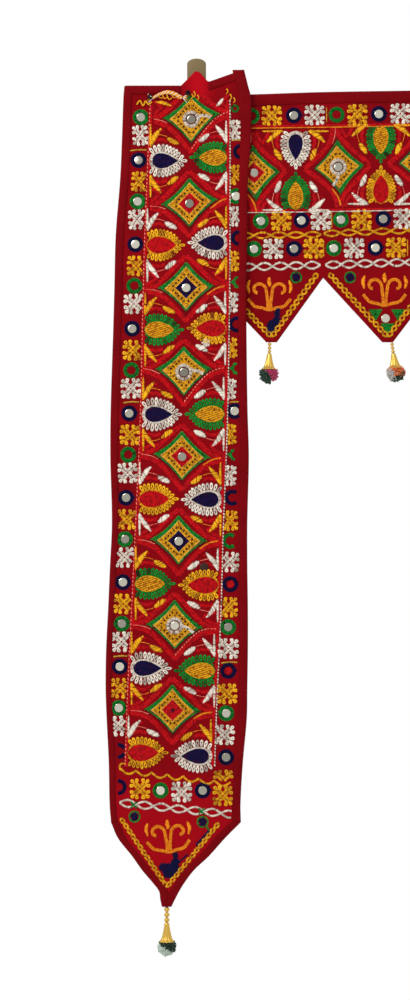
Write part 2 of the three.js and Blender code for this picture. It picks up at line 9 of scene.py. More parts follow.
import bpy
import numpy as np
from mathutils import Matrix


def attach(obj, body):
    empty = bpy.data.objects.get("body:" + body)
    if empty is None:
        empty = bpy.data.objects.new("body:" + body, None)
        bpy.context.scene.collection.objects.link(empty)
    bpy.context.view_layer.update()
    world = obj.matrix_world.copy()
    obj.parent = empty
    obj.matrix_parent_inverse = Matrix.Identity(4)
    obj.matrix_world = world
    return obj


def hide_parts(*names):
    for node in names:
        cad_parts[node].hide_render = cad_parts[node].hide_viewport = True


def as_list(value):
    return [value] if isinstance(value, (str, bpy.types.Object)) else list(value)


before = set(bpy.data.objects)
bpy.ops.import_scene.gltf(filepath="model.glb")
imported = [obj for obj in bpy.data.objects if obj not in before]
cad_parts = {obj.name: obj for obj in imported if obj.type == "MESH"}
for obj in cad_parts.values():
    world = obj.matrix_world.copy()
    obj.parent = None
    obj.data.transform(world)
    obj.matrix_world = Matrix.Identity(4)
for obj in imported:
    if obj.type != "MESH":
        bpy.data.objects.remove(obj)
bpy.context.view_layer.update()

MM = 0.001
rng = np.random.default_rng(20)
print("nodes in the frame:", len(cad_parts))

# %% [markdown]
# Cloth sizes are in millimetres, in the frame's own axes: X runs right, Z up, and the cloth
# faces -Y. Hand-cut cloth is never straight, so short tables give its edges, and a cubic
# through their rows gives every place between them.

# %% Tables of the two cloths
SHOULDER_Z = -831.0
TIP_Z = -926.0
CLOTH = 2.0


def table(columns, rows):
    """Short table as named columns."""
    return dict(zip(columns.split(), np.array(rows, float).T))


PANEL_EDGES = table("z left right left_band right_band", [
    (19, -80.8, 53.1, 8.6, 12.5),
    (1, -80.8, 57.6, 8.6, 12.5),
    (-11, -81.7, 60.5, 8.6, 12.5),
    (-59, -83.4, 60.5, 8.6, 11.0),
    (-103, -85.3, 57.1, 8.6, 9.0),
    (-167, -90.3, 56.5, 8.0, 8.0),
    (-226, -91.8, 55.3, 8.0, 8.0),
    (-277, -93.2, 55.5, 8.0, 8.0),
    (-364, -96.1, 56.7, 8.0, 8.0),
    (-419, -96.4, 58.2, 7.5, 8.5),
    (-492, -94.6, 56.5, 6.5, 8.5),
    (-542, -96.8, 56.5, 6.0, 8.5),
    (-591, -98.9, 57.1, 6.0, 8.5),
    (-634, -101.1, 57.1, 6.0, 8.5),
    (-678, -101.8, 56.5, 6.0, 8.5),
    (-713, -100.7, 55.9, 6.0, 8.5),
    (-764, -98.2, 51.4, 6.0, 8.5),
    (-811, -97.2, 48.8, 6.0, 8.5),
    (SHOULDER_Z, -95.6, 49.2, 6.0, 8.5),
])
POINT_EDGES = table("z left right left_band right_band", [
    (SHOULDER_Z, -95.6, 49.2, 8.5, 11.0),
    (-849, -87.6, 31.1, 8.5, 11.0),
    (-869, -71.8, 13.0, 8.5, 10.5),
    (-885, -60.5, -4.0, 8.5, 10.5),
    (-901, -46.9, -15.9, 9.0, 9.5),
    (-909, -41.2, -20.7, 9.0, 9.5),
    (-917, -40.1, -24.9, 8.0, 8.0),
    (TIP_Z, -38.2, -29.2, 5.0, 5.0),
])
PANEL_TOP = table("across z", [
    (0, 1.1), (0.45, 1.1), (0.59, 18.0), (0.625, 18.0), (0.69, 5.5), (1, 19.5),
])
VALANCE_TOP = table("x z", [(9, -7.9), (59, -7.7), (140, -5.1), (241, -3.4), (278, -2.8)])
FLAGS = table("left tip right", [(9, 85, 143.5), (143.5, 216.5, 278)])
FLAG_TIP_Z = -288.0
NOTCH_Z = -215.0
BLUNT_HALF = 6.0


def smooth_read(rows, place, column, at):
    """Cubic through the rows: each row's slope is that between its two neighbours."""
    p, v = rows[place], rows[column]
    if p[0] > p[-1]:
        p, v = p[::-1], v[::-1]
    slope = np.empty_like(v)
    slope[1:-1] = (v[2:] - v[:-2]) / (p[2:] - p[:-2])
    slope[[0, -1]] = (v[1] - v[0]) / (p[1] - p[0]), (v[-1] - v[-2]) / (p[-1] - p[-2])
    at = np.clip(at, p[0], p[-1])
    k = np.clip(np.searchsorted(p, at) - 1, 0, len(p) - 2)
    span = p[k + 1] - p[k]
    t = (at - p[k]) / span
    ease = t * t * (3 - 2 * t)
    bend = span * (slope[k] * t * (1 - t) ** 2 - slope[k + 1] * t * t * (1 - t))
    return v[k] * (1 - ease) + v[k + 1] * ease + bend


def panel_edge(column, z):
    """Edge or band of the side panel at height z, from the body's or the point's table."""
    body = smooth_read(PANEL_EDGES, "z", column, z)
    point = smooth_read(POINT_EDGES, "z", column, z)
    return np.where(np.asarray(z) >= SHOULDER_Z, body, point)


def panel_top_z(across):
    """Top edge of the panel: straight runs with a peak at the hook."""
    return np.interp(across, PANEL_TOP["across"], PANEL_TOP["z"])


def valance_top_z(x):
    """Top edge of the valance, which rises a little to the right."""
    return smooth_read(VALANCE_TOP, "x", "z", x)


def flag_edge_z(x):
    """Lower edge of the valance: down to each blunt tip and up to each notch."""
    flag = (np.asarray(x) > FLAGS["right"][0]).astype(int)
    tip = FLAGS["tip"][flag]
    run = np.where(x < tip, tip - FLAGS["left"][flag], FLAGS["right"][flag] - tip) - BLUNT_HALF
    t = np.clip((np.abs(x - tip) - BLUNT_HALF) / run, 0, 1)
    return FLAG_TIP_Z + (NOTCH_Z - FLAG_TIP_Z) * t


print("panel width at half height:", float(panel_edge("right", -460) - panel_edge("left", -460)), "mm")

# %% [markdown]
# A hanging cloth is never flat. Its middle plane stands off the wall by a sum of soft sine
# waves, which fade out near the hook, where the loops hold it. Thick stitching also puckers
# the ground between the motifs, and a few short low waves give that.

# %% Depth of the two cloths
WAVES = {
    "panel": table("rise across down start", [
        (1.6, 900, 330, 0.4), (0.7, 210, 170, 2.1), (0.4, -120, 95, 4.0),
    ]),
    "valance": table("rise across down start", [(0.5, 160, 700, 1.2), (0.3, -75, 210, 0.3)]),
}
# Y at the hook, and how much further out the loose cloth stands.
HOLD = {"panel": (-16.0, 3.0), "valance": (-8.0, 3.2)}
HELD_Z = -30.0
LOOSE_Z = -150.0
PUCKERS = table("rise across down start", [
    (0.16, 31, 47, 0.3), (0.13, -23, 29, 1.9), (0.09, 12, -17, 3.3), (0.06, 9, 11, 5.0),
])
PUCKER_SHARE = 0.6


def wave_sum(waves, x, z):
    """Sum over the table of rise times the sine of the place's turn in that wave."""
    total = np.zeros(np.broadcast(x, z).shape)
    for rise, across, down, start in zip(*waves.values()):
        total += rise * np.sin(2 * np.pi * (x / across + z / down) + start)
    return total


def depth(cloth, x, z):
    """Y of the cloth's middle plane, flat above HELD_Z and fully waved below LOOSE_Z."""
    t = np.clip((HELD_Z - z) / (HELD_Z - LOOSE_Z), 0, 1)
    loose = t * t * (3 - 2 * t)
    at_hook, swing = HOLD[cloth]
    return at_hook - loose * (swing + wave_sum(WAVES[cloth], x, z))


def on_front(cloth, x, z, lift):
    """Points that stand lift millimetres in front of the cloth's puckered face."""
    x, z, lift = np.broadcast_arrays(np.asarray(x, float), z, lift)
    y = depth(cloth, x, z) - CLOTH / 2 - wave_sum(PUCKERS, x, z) * PUCKER_SHARE - lift
    return np.stack([x, y, z], axis=-1)


# %% [markdown]
# One helper turns arrays of points and faces into a Blender mesh. It can carry two things
# for the materials: a UV map in millimetres, whose U runs across the fibres, and a shade
# for each point: random, because no two lengths of hand-dyed thread are quite alike, and,
# on stitches, lower as painted shade where they crowd and light hardly reaches.

# %% Mesh helper
def make_mesh(name, points, faces, uv=None, shade=None):
    """Object at the origin with its place in its mesh; points are millimetres."""
    points = np.asarray(points, float).reshape(-1, 3) * MM
    groups = [np.asarray(f, np.int32) for f in (faces if isinstance(faces, list) else [faces])]
    loops = np.concatenate([g.ravel() for g in groups])
    sizes = np.concatenate([np.full(len(g), g.shape[1], np.int32) for g in groups])
    starts = np.concatenate([[0], np.cumsum(sizes)[:-1]]).astype(np.int32)
    mesh = bpy.data.meshes.new(name)
    mesh.vertices.add(len(points))
    mesh.vertices.foreach_set("co", points.astype(np.float32).ravel())
    mesh.loops.add(len(loops))
    mesh.loops.foreach_set("vertex_index", loops)
    mesh.polygons.add(len(sizes))
    mesh.polygons.foreach_set("loop_start", starts)
    mesh.polygons.foreach_set("use_smooth", np.full(len(sizes), True))
    mesh.update(calc_edges=True)
    if uv is not None:
        layer = mesh.uv_layers.new(name="thread")
        layer.data.foreach_set("uv", np.asarray(uv, np.float32).reshape(-1, 2)[loops].ravel())
    if shade is not None:
        tone = mesh.attributes.new("shade", "FLOAT", "POINT")
        tone.data.foreach_set("value", np.asarray(shade, np.float32).ravel())
    mesh.validate()
    made = bpy.data.objects.new(name, mesh)
    bpy.context.scene.collection.objects.link(made)
    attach(made, "root")
    return made


def grid_faces(rows, columns, start=0, wrap=False):
    """Quads between rows of a grid; wrap joins the last column to the first."""
    j, i = np.meshgrid(np.arange(rows - 1), np.arange(columns if wrap else columns - 1), indexing="ij")
    a = j * columns + i
    b = j * columns + (i + 1) % columns
    return np.stack([a, b, b + columns, a + columns], axis=-1).reshape(-1, 4) + start


# %% [markdown]
# Colours are given as they look, and turned into Blender's linear values. The thread
# material takes its fibres from the UV map, and from the shade attribute its unevenness and
# its painted shade between crowded stitches; a little sheen makes it read as cotton and not
# as plastic. The cloth gets a plain weave.

# %% Materials
def linear(red, green, blue):
    """Screen colour of 0 to 255 as a linear colour."""
    c = np.array([red, green, blue]) / 255
    return (*np.where(c <= 0.04045, c / 12.92, ((c + 0.055) / 1.055) ** 2.4), 1.0)


def new_material(name, colour, roughness, metallic=0.0, sheen=0.0, gloss=0.5):
    """Principled material with its constants set on the shader's own sockets."""
    made = bpy.data.materials.new(name)
    made.use_nodes = True
    shader = made.node_tree.nodes["Principled BSDF"]
    shader.inputs["Base Color"].default_value = colour
    shader.inputs["Roughness"].default_value = roughness
    shader.inputs["Metallic"].default_value = metallic
    shader.inputs["Sheen Weight"].default_value = sheen
    shader.inputs["Sheen Roughness"].default_value = 0.4
    shader.inputs["Specular IOR Level"].default_value = gloss
    made.diffuse_color = colour
    return made, made.node_tree.nodes, made.node_tree.links, shader


def add_bump(nodes, links, shader, height, distance, strength):
    """Bump from a height socket, in metres of distance."""
    bump = nodes.new("ShaderNodeBump")
    bump.inputs["Strength"].default_value = strength
    bump.inputs["Distance"].default_value = distance
    links.new(height, bump.inputs["Height"])
    links.new(bump.outputs["Normal"], shader.inputs["Normal"])


def shaded_colour(nodes, links, shader, colour, dark):
    """Base colour mixed by the shade attribute with a darker one, or with a socket's."""
    shade = nodes.new("ShaderNodeAttribute")
    shade.attribute_name = "shade"
    mix = nodes.new("ShaderNodeMix")
    mix.data_type = "RGBA"
    mix.inputs["B"].default_value = colour
    if isinstance(dark, tuple):
        mix.inputs["A"].default_value = dark
    else:
        links.new(dark, mix.inputs["A"])
    links.new(shade.outputs["Fac"], mix.inputs["Factor"])
    links.new(mix.outputs["Result"], shader.inputs["Base Color"])


def thread_material(name, colour, dark, sheen=0.02, roughness=0.5):
    """Twisted cotton: fine ridges along the fibres, random shade from stitch to stitch and painted shade
    where they crowd, both from the shade attribute.
    """
    made, nodes, links, shader = new_material(name, colour, roughness, sheen=sheen, gloss=0.1)
    shaded_colour(nodes, links, shader, colour, dark)
    uv = nodes.new("ShaderNodeUVMap")
    uv.uv_map = "thread"
    fibres = nodes.new("ShaderNodeTexWave")
    fibres.bands_direction = "X"
    fibres.inputs["Scale"].default_value = 0.42
    fibres.inputs["Distortion"].default_value = 1.2
    fibres.inputs["Detail"].default_value = 2.0
    links.new(uv.outputs["UV"], fibres.inputs["Vector"])
    add_bump(nodes, links, shader, fibres.outputs["Fac"], 0.00025, 0.9)
    return made


def cloth_material(name, colour, dark, fresh=None):
    """Plain cotton weave: two crossed sets of ribs, worn slightly lighter in soft patches."""
    made, nodes, links, shader = new_material(name, colour, 0.85, sheen=0.02, gloss=0.05)
    place = nodes.new("ShaderNodeTexCoord")
    ribs = []
    for direction in ("X", "Z"):
        wave = nodes.new("ShaderNodeTexWave")
        wave.bands_direction = direction
        wave.inputs["Scale"].default_value = 430.0
        wave.inputs["Distortion"].default_value = 0.6
        links.new(place.outputs["Object"], wave.inputs["Vector"])
        ribs.append(wave.outputs["Fac"])
    weave = nodes.new("ShaderNodeMath")
    weave.operation = "MAXIMUM"
    links.new(ribs[0], weave.inputs[0])
    links.new(ribs[1], weave.inputs[1])
    add_bump(nodes, links, shader, weave.outputs[0], 0.00015, 0.6)
    patches = nodes.new("ShaderNodeTexNoise")
    patches.inputs["Scale"].default_value = 38.0
    patches.inputs["Detail"].default_value = 5.0
    links.new(place.outputs["Object"], patches.inputs["Vector"])
    mix = nodes.new("ShaderNodeMix")
    mix.data_type = "RGBA"
    mix.inputs["A"].default_value = dark
    mix.inputs["B"].default_value = colour
    links.new(patches.outputs["Fac"], mix.inputs["Factor"])
    if fresh is None:
        links.new(mix.outputs["Result"], shader.inputs["Base Color"])
    else:
        shaded_colour(nodes, links, shader, fresh, mix.outputs["Result"])
    return made


# Each thread's colour in full light, and its darker one mixed in by the shade attribute:
# painted shade where stitches crowd, and random tone from stitch to stitch.
THREAD_COLOURS = {
    "cream": ((240, 206, 120), (214, 168, 70)),
    "yellow": ((255, 190, 28), (120, 42, 2)),
    "white": ((248, 240, 224), (122, 98, 86)),
    "green": ((14, 148, 48), (1, 22, 8)),
    "navy": ((6, 4, 68), (2, 1, 26)),
    "scarlet": ((220, 8, 20), (116, 1, 8)),
    "pink": ((250, 150, 130), (225, 80, 60)),
    "ochre": ((252, 158, 30), (196, 88, 8)),
    "gold": ((215, 175, 60), (150, 110, 20)),
    "black": ((40, 20, 26), (14, 8, 12)),
    "plum": ((90, 12, 40), (52, 4, 24)),
}
THREADS = {
    name: thread_material(f"thread_{name}", linear(*light), linear(*dark))
    for name, (light, dark) in THREAD_COLOURS.items()
}
GROUND = cloth_material("cloth_ground", linear(134, 2, 12), linear(94, 1, 7), linear(160, 4, 18))
BINDING = cloth_material("cloth_binding", linear(118, 3, 11), linear(90, 1, 7))
print("materials:", len(bpy.data.materials))

# %% [markdown]
# Each cloth is one closed sheet: a grid of places on the front, the same grid on the back,
# and a rim between them. Rows are level, so that a row can lie right at the shoulder corner
# where the panel's sides turn in; only the rows near the top bend to meet the top edge.

# %% Two cloths
LEVEL_Z = -30.0


def cloth_sheet(name, cloth, x, z, fresh):
    """Closed sheet over a grid of places; fresh is 1 where the cloth is unworn."""
    rows, columns = x.shape
    middle = depth(cloth, x, z) - wave_sum(PUCKERS, x, z) * PUCKER_SHARE
    front = np.stack([x, middle - CLOTH / 2, z], axis=-1).reshape(-1, 3)
    back = front + [0, CLOTH, 0]
    one_side = grid_faces(rows, columns)
    place = np.arange(rows * columns).reshape(rows, columns)
    edge = np.concatenate([place[0, :-1], place[:-1, -1], place[-1, :0:-1], place[:0:-1, 0]])
    after = np.roll(edge, -1)
    rim = np.stack([edge, after, after + rows * columns, edge + rows * columns], axis=-1)
    faces = np.concatenate([one_side[:, ::-1], one_side + rows * columns, rim])
    made = make_mesh(name, np.concatenate([front, back]), faces, shade=np.tile(fresh.ravel(), 2))
    made.data.materials.append(GROUND)
    return made


def panel_sheet():
    """Rows are level below LEVEL_Z and bend to the top edge above it."""
    level = np.concatenate([
        np.linspace(LEVEL_Z, SHOULDER_Z, 200),
        np.linspace(SHOULDER_Z, TIP_Z, 36)[1:],
    ])
    across = np.linspace(0, 1, 45)
    rise = np.linspace(1, 0, 17)[:-1, None]
    bent = LEVEL_Z + rise * (panel_top_z(across) - LEVEL_Z)
    z = np.concatenate([bent, np.broadcast_to(level[:, None], (len(level), len(across)))])
    x = panel_edge("left", z) + across * (panel_edge("right", z) - panel_edge("left", z))
    peak = np.exp(-(((x - 1) / 15) ** 2)) * np.clip((z + 24) / 16, 0, 1)
    foot = 0.5 * np.clip((-770 - z) / 30, 0, 1)
    return cloth_sheet("panel_cloth", "panel", x, z, peak + foot)


def valance_sheet():
    """Columns run from the top edge to the flags' lower edge, one through every corner."""
    even = np.linspace(FLAGS["left"][0], FLAGS["right"][1], 76)
    blunt = [FLAGS["tip"] - BLUNT_HALF, FLAGS["tip"] + BLUNT_HALF]
    columns = np.unique(np.concatenate([even, *blunt, FLAGS["right"]]))
    down = np.linspace(0, 1, 80)[:, None]
    x = np.broadcast_to(columns, (len(down), len(columns)))
    z = valance_top_z(x) * (1 - down) + flag_edge_z(x) * down
    return cloth_sheet("valance_cloth", "valance", x, z, np.zeros(x.shape))


panel_cloth = panel_sheet()
valance_cloth = valance_sheet()
print("cloths:", len(panel_cloth.data.vertices), "and", len(valance_cloth.data.vertices), "points")

# %% [markdown]
# A binding is a strip of cloth folded round a raw edge. Its section is a flat C that starts
# under the inner edge, swells over the front, turns round the cloth's edge and ends on the
# back. Hemming stitches draw it in every few millimetres, so its face is gently rippled.

# %% Bindings
# Rows: share of the band's width from the edge, outward shift, height from the cloth's middle.
BAND_SECTION = table("share out height", [
    (1.0, 0, 0.8), (1.0, 0, 1.7), (0.94, 0, 2.25), (0.62, 0, 2.5), (0.25, 0, 2.45), (0.06, 0, 2.2),
    (0, 0.7, 1.4), (0, 1.0, 0.3), (0, 0.9, -0.8), (0, 0.5, -1.6), (0.1, 0, -2.0), (0.5, 0, -2.05),
    (0.84, 0, -1.9), (0.9, 0, -1.5), (0.9, 0, -0.7), (0.16, 0, -0.5), (0.16, 0, 0.6),
])
RIPPLE = 0.18
RIPPLE_PITCH = 7.3
TOP_WIDTH = 9
HEADING_WIDTH = 12
END_WIDTH = 8


def run_along(path):
    """Distance travelled at each point of a path."""
    steps = np.linalg.norm(np.diff(path, axis=0), axis=1)
    return np.concatenate([[0], np.cumsum(steps)])


def tube(name, rings):
    """Closed surface through rings of points, its two end rings filled."""
    rings = np.asarray(rings, float)
    count, around = rings.shape[:2]
    sides = grid_faces(count, around, wrap=True)
    first = np.arange(around)[None, ::-1]
    last = np.arange(around)[None] + (count - 1) * around
    return make_mesh(name, rings, [sides, first, last])


def binding(name, cloth, edge, inner):
    """Folded strip between an edge line and an inner line of x and z."""
    share, out, height = (BAND_SECTION[k][None, :] for k in ("share", "out", "height"))
    outward = edge - inner
    outward /= np.linalg.norm(outward, axis=1, keepdims=True)
    place = edge[:, None] * (1 - share[..., None]) + inner[:, None] * share[..., None]
    place = place + outward[:, None] * out[..., None]
    along = run_along(edge)[:, None]
    ripple = RIPPLE * np.sin(2 * np.pi * along / RIPPLE_PITCH + np.sin(along / 11))
    drawn = ripple * (share > 0.05) * (share < 1)
    x, z = place[..., 0], place[..., 1]
    y = depth(cloth, x, z) - np.sign(height) * (np.abs(height) + drawn)
    made = tube(name, np.stack([x, y, z], axis=-1))
    made.data.materials.append(BINDING)
    return made


def down_side(rise):
    """Heights down a side of the panel, which starts higher by rise: z + rise * (1 - z / end)."""
    z = np.linspace(0, SHOULDER_Z, 300)
    return z + rise * (1 - z / SHOULDER_Z)


def side_lines(side, z):
    """Edge line and inner line of the panel on one side, at heights z."""
    edge = panel_edge(side, z)
    band = panel_edge(side + "_band", z)
    inner = edge + band if side == "left" else edge - band
    return np.stack([edge, z], axis=-1), np.stack([inner, z], axis=-1)


def top_lines(first, last):
    """Edge line and inner line along the panel's top, from one share across to another."""
    across = np.linspace(first, last, 26)
    z = panel_top_z(across)
    left, right = panel_edge("left", z), panel_edge("right", z)
    x = left + across * (right - left)
    return np.stack([x, z], axis=-1), np.stack([x, z - TOP_WIDTH], axis=-1)


def heading_lines():
    """Edge line and inner line along the valance's top."""
    x = np.linspace(FLAGS["left"][0], FLAGS["right"][1], 120)
    top = np.stack([x, valance_top_z(x)], axis=-1)
    return top, top - [0, HEADING_WIDTH]


def end_lines():
    """Edge line and inner line down the valance's right end."""
    z = np.linspace(VALANCE_TOP["z"][-1], NOTCH_Z, 120)
    end = np.stack([np.full_like(z, FLAGS["right"][1]), z], axis=-1)
    return end, end - [END_WIDTH, 0]


down_point = np.linspace(SHOULDER_Z, TIP_Z, 60)
# Rows: cloth, name of the piece, node that it replaces, its edge line and inner line.
FOLDS = [
    ("panel", "fold_left", "binding_left", side_lines("left", down_side(1.1))),
    ("panel", "fold_right", "binding_right", side_lines("right", down_side(19.5))),
    ("panel", "fold_top_left", "binding_top_left", top_lines(0.0, 0.45)),
    ("panel", "fold_top_right", "binding_top_right", top_lines(0.69, 1.0)),
    ("panel", "fold_point_left", "binding_point_left", side_lines("left", down_point)),
    ("panel", "fold_point_right", "binding_point_right", side_lines("right", down_point)),
    ("valance", "fold_heading", "valance_heading", heading_lines()),
    ("valance", "fold_end", "valance_end_binding", end_lines()),
]
bindings = {"panel": [], "valance": []}
for cloth, name, node, lines in FOLDS:
    fold = binding(name, cloth, *lines)
    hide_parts(node)
    bindings[cloth].append(fold)
for piece, node in ((panel_cloth, "side_panel"), (valance_cloth, "valance")):
    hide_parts(node)
print("bindings:", {cloth: len(folds) for cloth, folds in bindings.items()})

# %% [markdown]
# All the needlework is made of three stitches. A grain is one straight stitch, a low dome. A
# link is one teardrop of chain stitch, dented in its middle. A loop is a petal of thread that
# stands round an opening. Each is a small closed mesh, copied by whole arrays. A mesh's fourth
# column is its painted shade: thread is drawn darker on the ground and in a link's dent, where
# stitches crowd and light hardly reaches.

# %% Three stitches
def fan(count, centre, start=0, flip=False):
    """Triangles from a ring of points to one centre point."""
    i = np.arange(count)
    faces = np.stack([i + start, (i + 1) % count + start, np.full(count, centre)], axis=-1)
    return faces[:, ::-1] if flip else faces


def grain_mesh():
    """Six points on the ground, pointed at both ends, and a ridge of two above them."""
    ground = [(-0.5, 0), (-0.26, -0.5), (0.26, -0.5), (0.5, 0), (0.26, 0.5), (-0.26, 0.5)]
    # Fourth column: painted shade, darker where the stitch meets the cloth.
    points = [(*p, 0, -0.35) for p in ground] + [(-0.2, 0, 1, 0), (0.2, 0, 1, 0)]
    quads = [(1, 2, 7, 6), (4, 5, 6, 7)]
    thirds = [(0, 1, 6), (5, 0, 6), (2, 3, 7), (3, 4, 7)]
    return np.array(points), [np.array(quads), np.array(thirds), np.array([[5, 4, 3, 2, 1, 0]])]


def link_mesh():
    """Teardrop ring: outline on the ground, ridge that rises to its round end, low centre."""
    half = np.array([(-0.5, 0), (-0.12, -0.38), (0.26, -0.5), (0.5, -0.22)])
    ring = np.concatenate([half, half[:0:-1] * [1, -1]])
    ridge = ring * 0.66 + [0.03, 0]
    count = len(ring)
    # Fourth column: painted shade, darker on the outline and most in the dented centre, lighter on the
    # ridge.
    points = np.concatenate([
        np.c_[ring, np.zeros(count), np.full(count, -0.4)],
        np.c_[ridge, 0.78 + 0.5 * ridge[:, 0], np.full(count, 0.12)], [(0.08, 0, 0.12, -0.7)],
    ])
    i = np.arange(count)
    sides = np.stack([i, (i + 1) % count, (i + 1) % count + count, i + count], axis=-1)
    return points, [sides, fan(count, 2 * count, count), i[None, ::-1]]


def loop_mesh():
    """Petal: a three-sided thread round an egg-shaped opening."""
    count = 8
    turn = np.linspace(0, 2 * np.pi, count + 1)[:-1]
    wide = 0.5 * np.sin(turn) * (0.8 - 0.2 * np.cos(turn))
    spine = np.stack([-0.5 * np.cos(turn), wide], axis=-1)
    out = np.stack([-np.cos(turn), np.sin(turn)], axis=-1)
    around = [(0.12, 0.0), (-0.1, 1.0), (-0.34, 0.0)]
    # Fourth column: painted shade, darker at the two lower corners, which lie on the cloth.
    corners = [np.c_[spine + out * shift, np.full(count, up), np.full(count, up * 0.5 - 0.4)]
               for shift, up in around]
    points = np.stack(corners, axis=1).reshape(-1, 4)
    i, k = np.meshgrid(np.arange(count), np.arange(3), indexing="ij")
    after, beside = (i + 1) % count, (k + 1) % 3
    faces = np.stack([i * 3 + k, i * 3 + beside, after * 3 + beside, after * 3 + k], axis=-1)
    return points, [faces.reshape(-1, 4)]


STITCH_MESH = {"grain": grain_mesh(), "link": link_mesh(), "loop": loop_mesh()}
# Depth of a stitch's base in the cloth, and how far its fibres slant for each mm along it.
SUNK = 0.12
STITCH_SLANT = 0.45
# Hand stitches are uneven: spread of place in mm, of turn in radians, the others as shares.
PLACE_SPREAD = 0.06
TURN_SPREAD = 0.05
SIZE_SPREAD = 0.04
HEIGHT_SPREAD = 0.06
SHADE_MIDDLE = 0.74
SHADE_SPREAD = 0.26
# Length of a link for each mm of pitch, in a line and in a filled area.
LINE_LINK = 1.35
FILL_LINK = 1.4


def copies(cloth, kind, rows):
    """Points, faces, UV and shade of one stitch for every row of the array."""
    shape, faces = STITCH_MESH[kind]
    x, z, angle, length, width, height, lift, shade = rows.T[:, :, None]
    along, across = shape[:, 0] * length, shape[:, 1] * width
    px = x + along * np.cos(angle) - across * np.sin(angle)
    pz = z + along * np.sin(angle) + across * np.cos(angle)
    points = on_front(cloth, px, pz, lift - SUNK + shape[:, 2] * height)
    uv = np.stack([across + along * STITCH_SLANT, along], axis=-1)
    step = np.arange(len(rows))[:, None, None] * len(shape)
    copied = [(f[None] + step).reshape(-1, f.shape[1]) for f in faces]
    # Each point's shade: the stitch's random shade plus its mesh's painted shade.
    tone = np.clip(shade + shape[:, 3], 0, 1)
    return points.reshape(-1, 3), copied, uv.reshape(-1, 2), tone.ravel()


def evenly(path, pitch, closed=False):
    """Places, directions and true pitch of stitches laid evenly along a path."""
    path = np.asarray(path, float)
    if closed:
        path = np.concatenate([path, path[:1]])
    run = run_along(path)
    count = max(1, round(run[-1] / pitch))
    step = run[-1] / count
    at = (np.arange(count) + 0.5) * step

    def read(where):
        where = where % run[-1] if closed else np.clip(where, 0, run[-1])
        return np.stack([np.interp(where, run, path[:, 0]), np.interp(where, run, path[:, 1])], axis=-1)

    ahead = read(at + step * 0.4) - read(at - step * 0.4)
    return read(at), np.arctan2(ahead[:, 1], ahead[:, 0]), step


def inside(points, outline):
    """True where a point lies inside a closed outline, by counting the sides to its right."""
    a = np.asarray(outline, float)
    b = np.roll(a, -1, axis=0)
    x, z = points[:, :1], points[:, 1:]
    spans = (a[:, 1] > z) != (b[:, 1] > z)
    rise = np.where(a[:, 1] == b[:, 1], 1e-9, b[:, 1] - a[:, 1])
    crossing = a[:, 0] + (z - a[:, 1]) / rise * (b[:, 0] - a[:, 0])
    return (spans & (x < crossing)).sum(axis=1) % 2 == 1


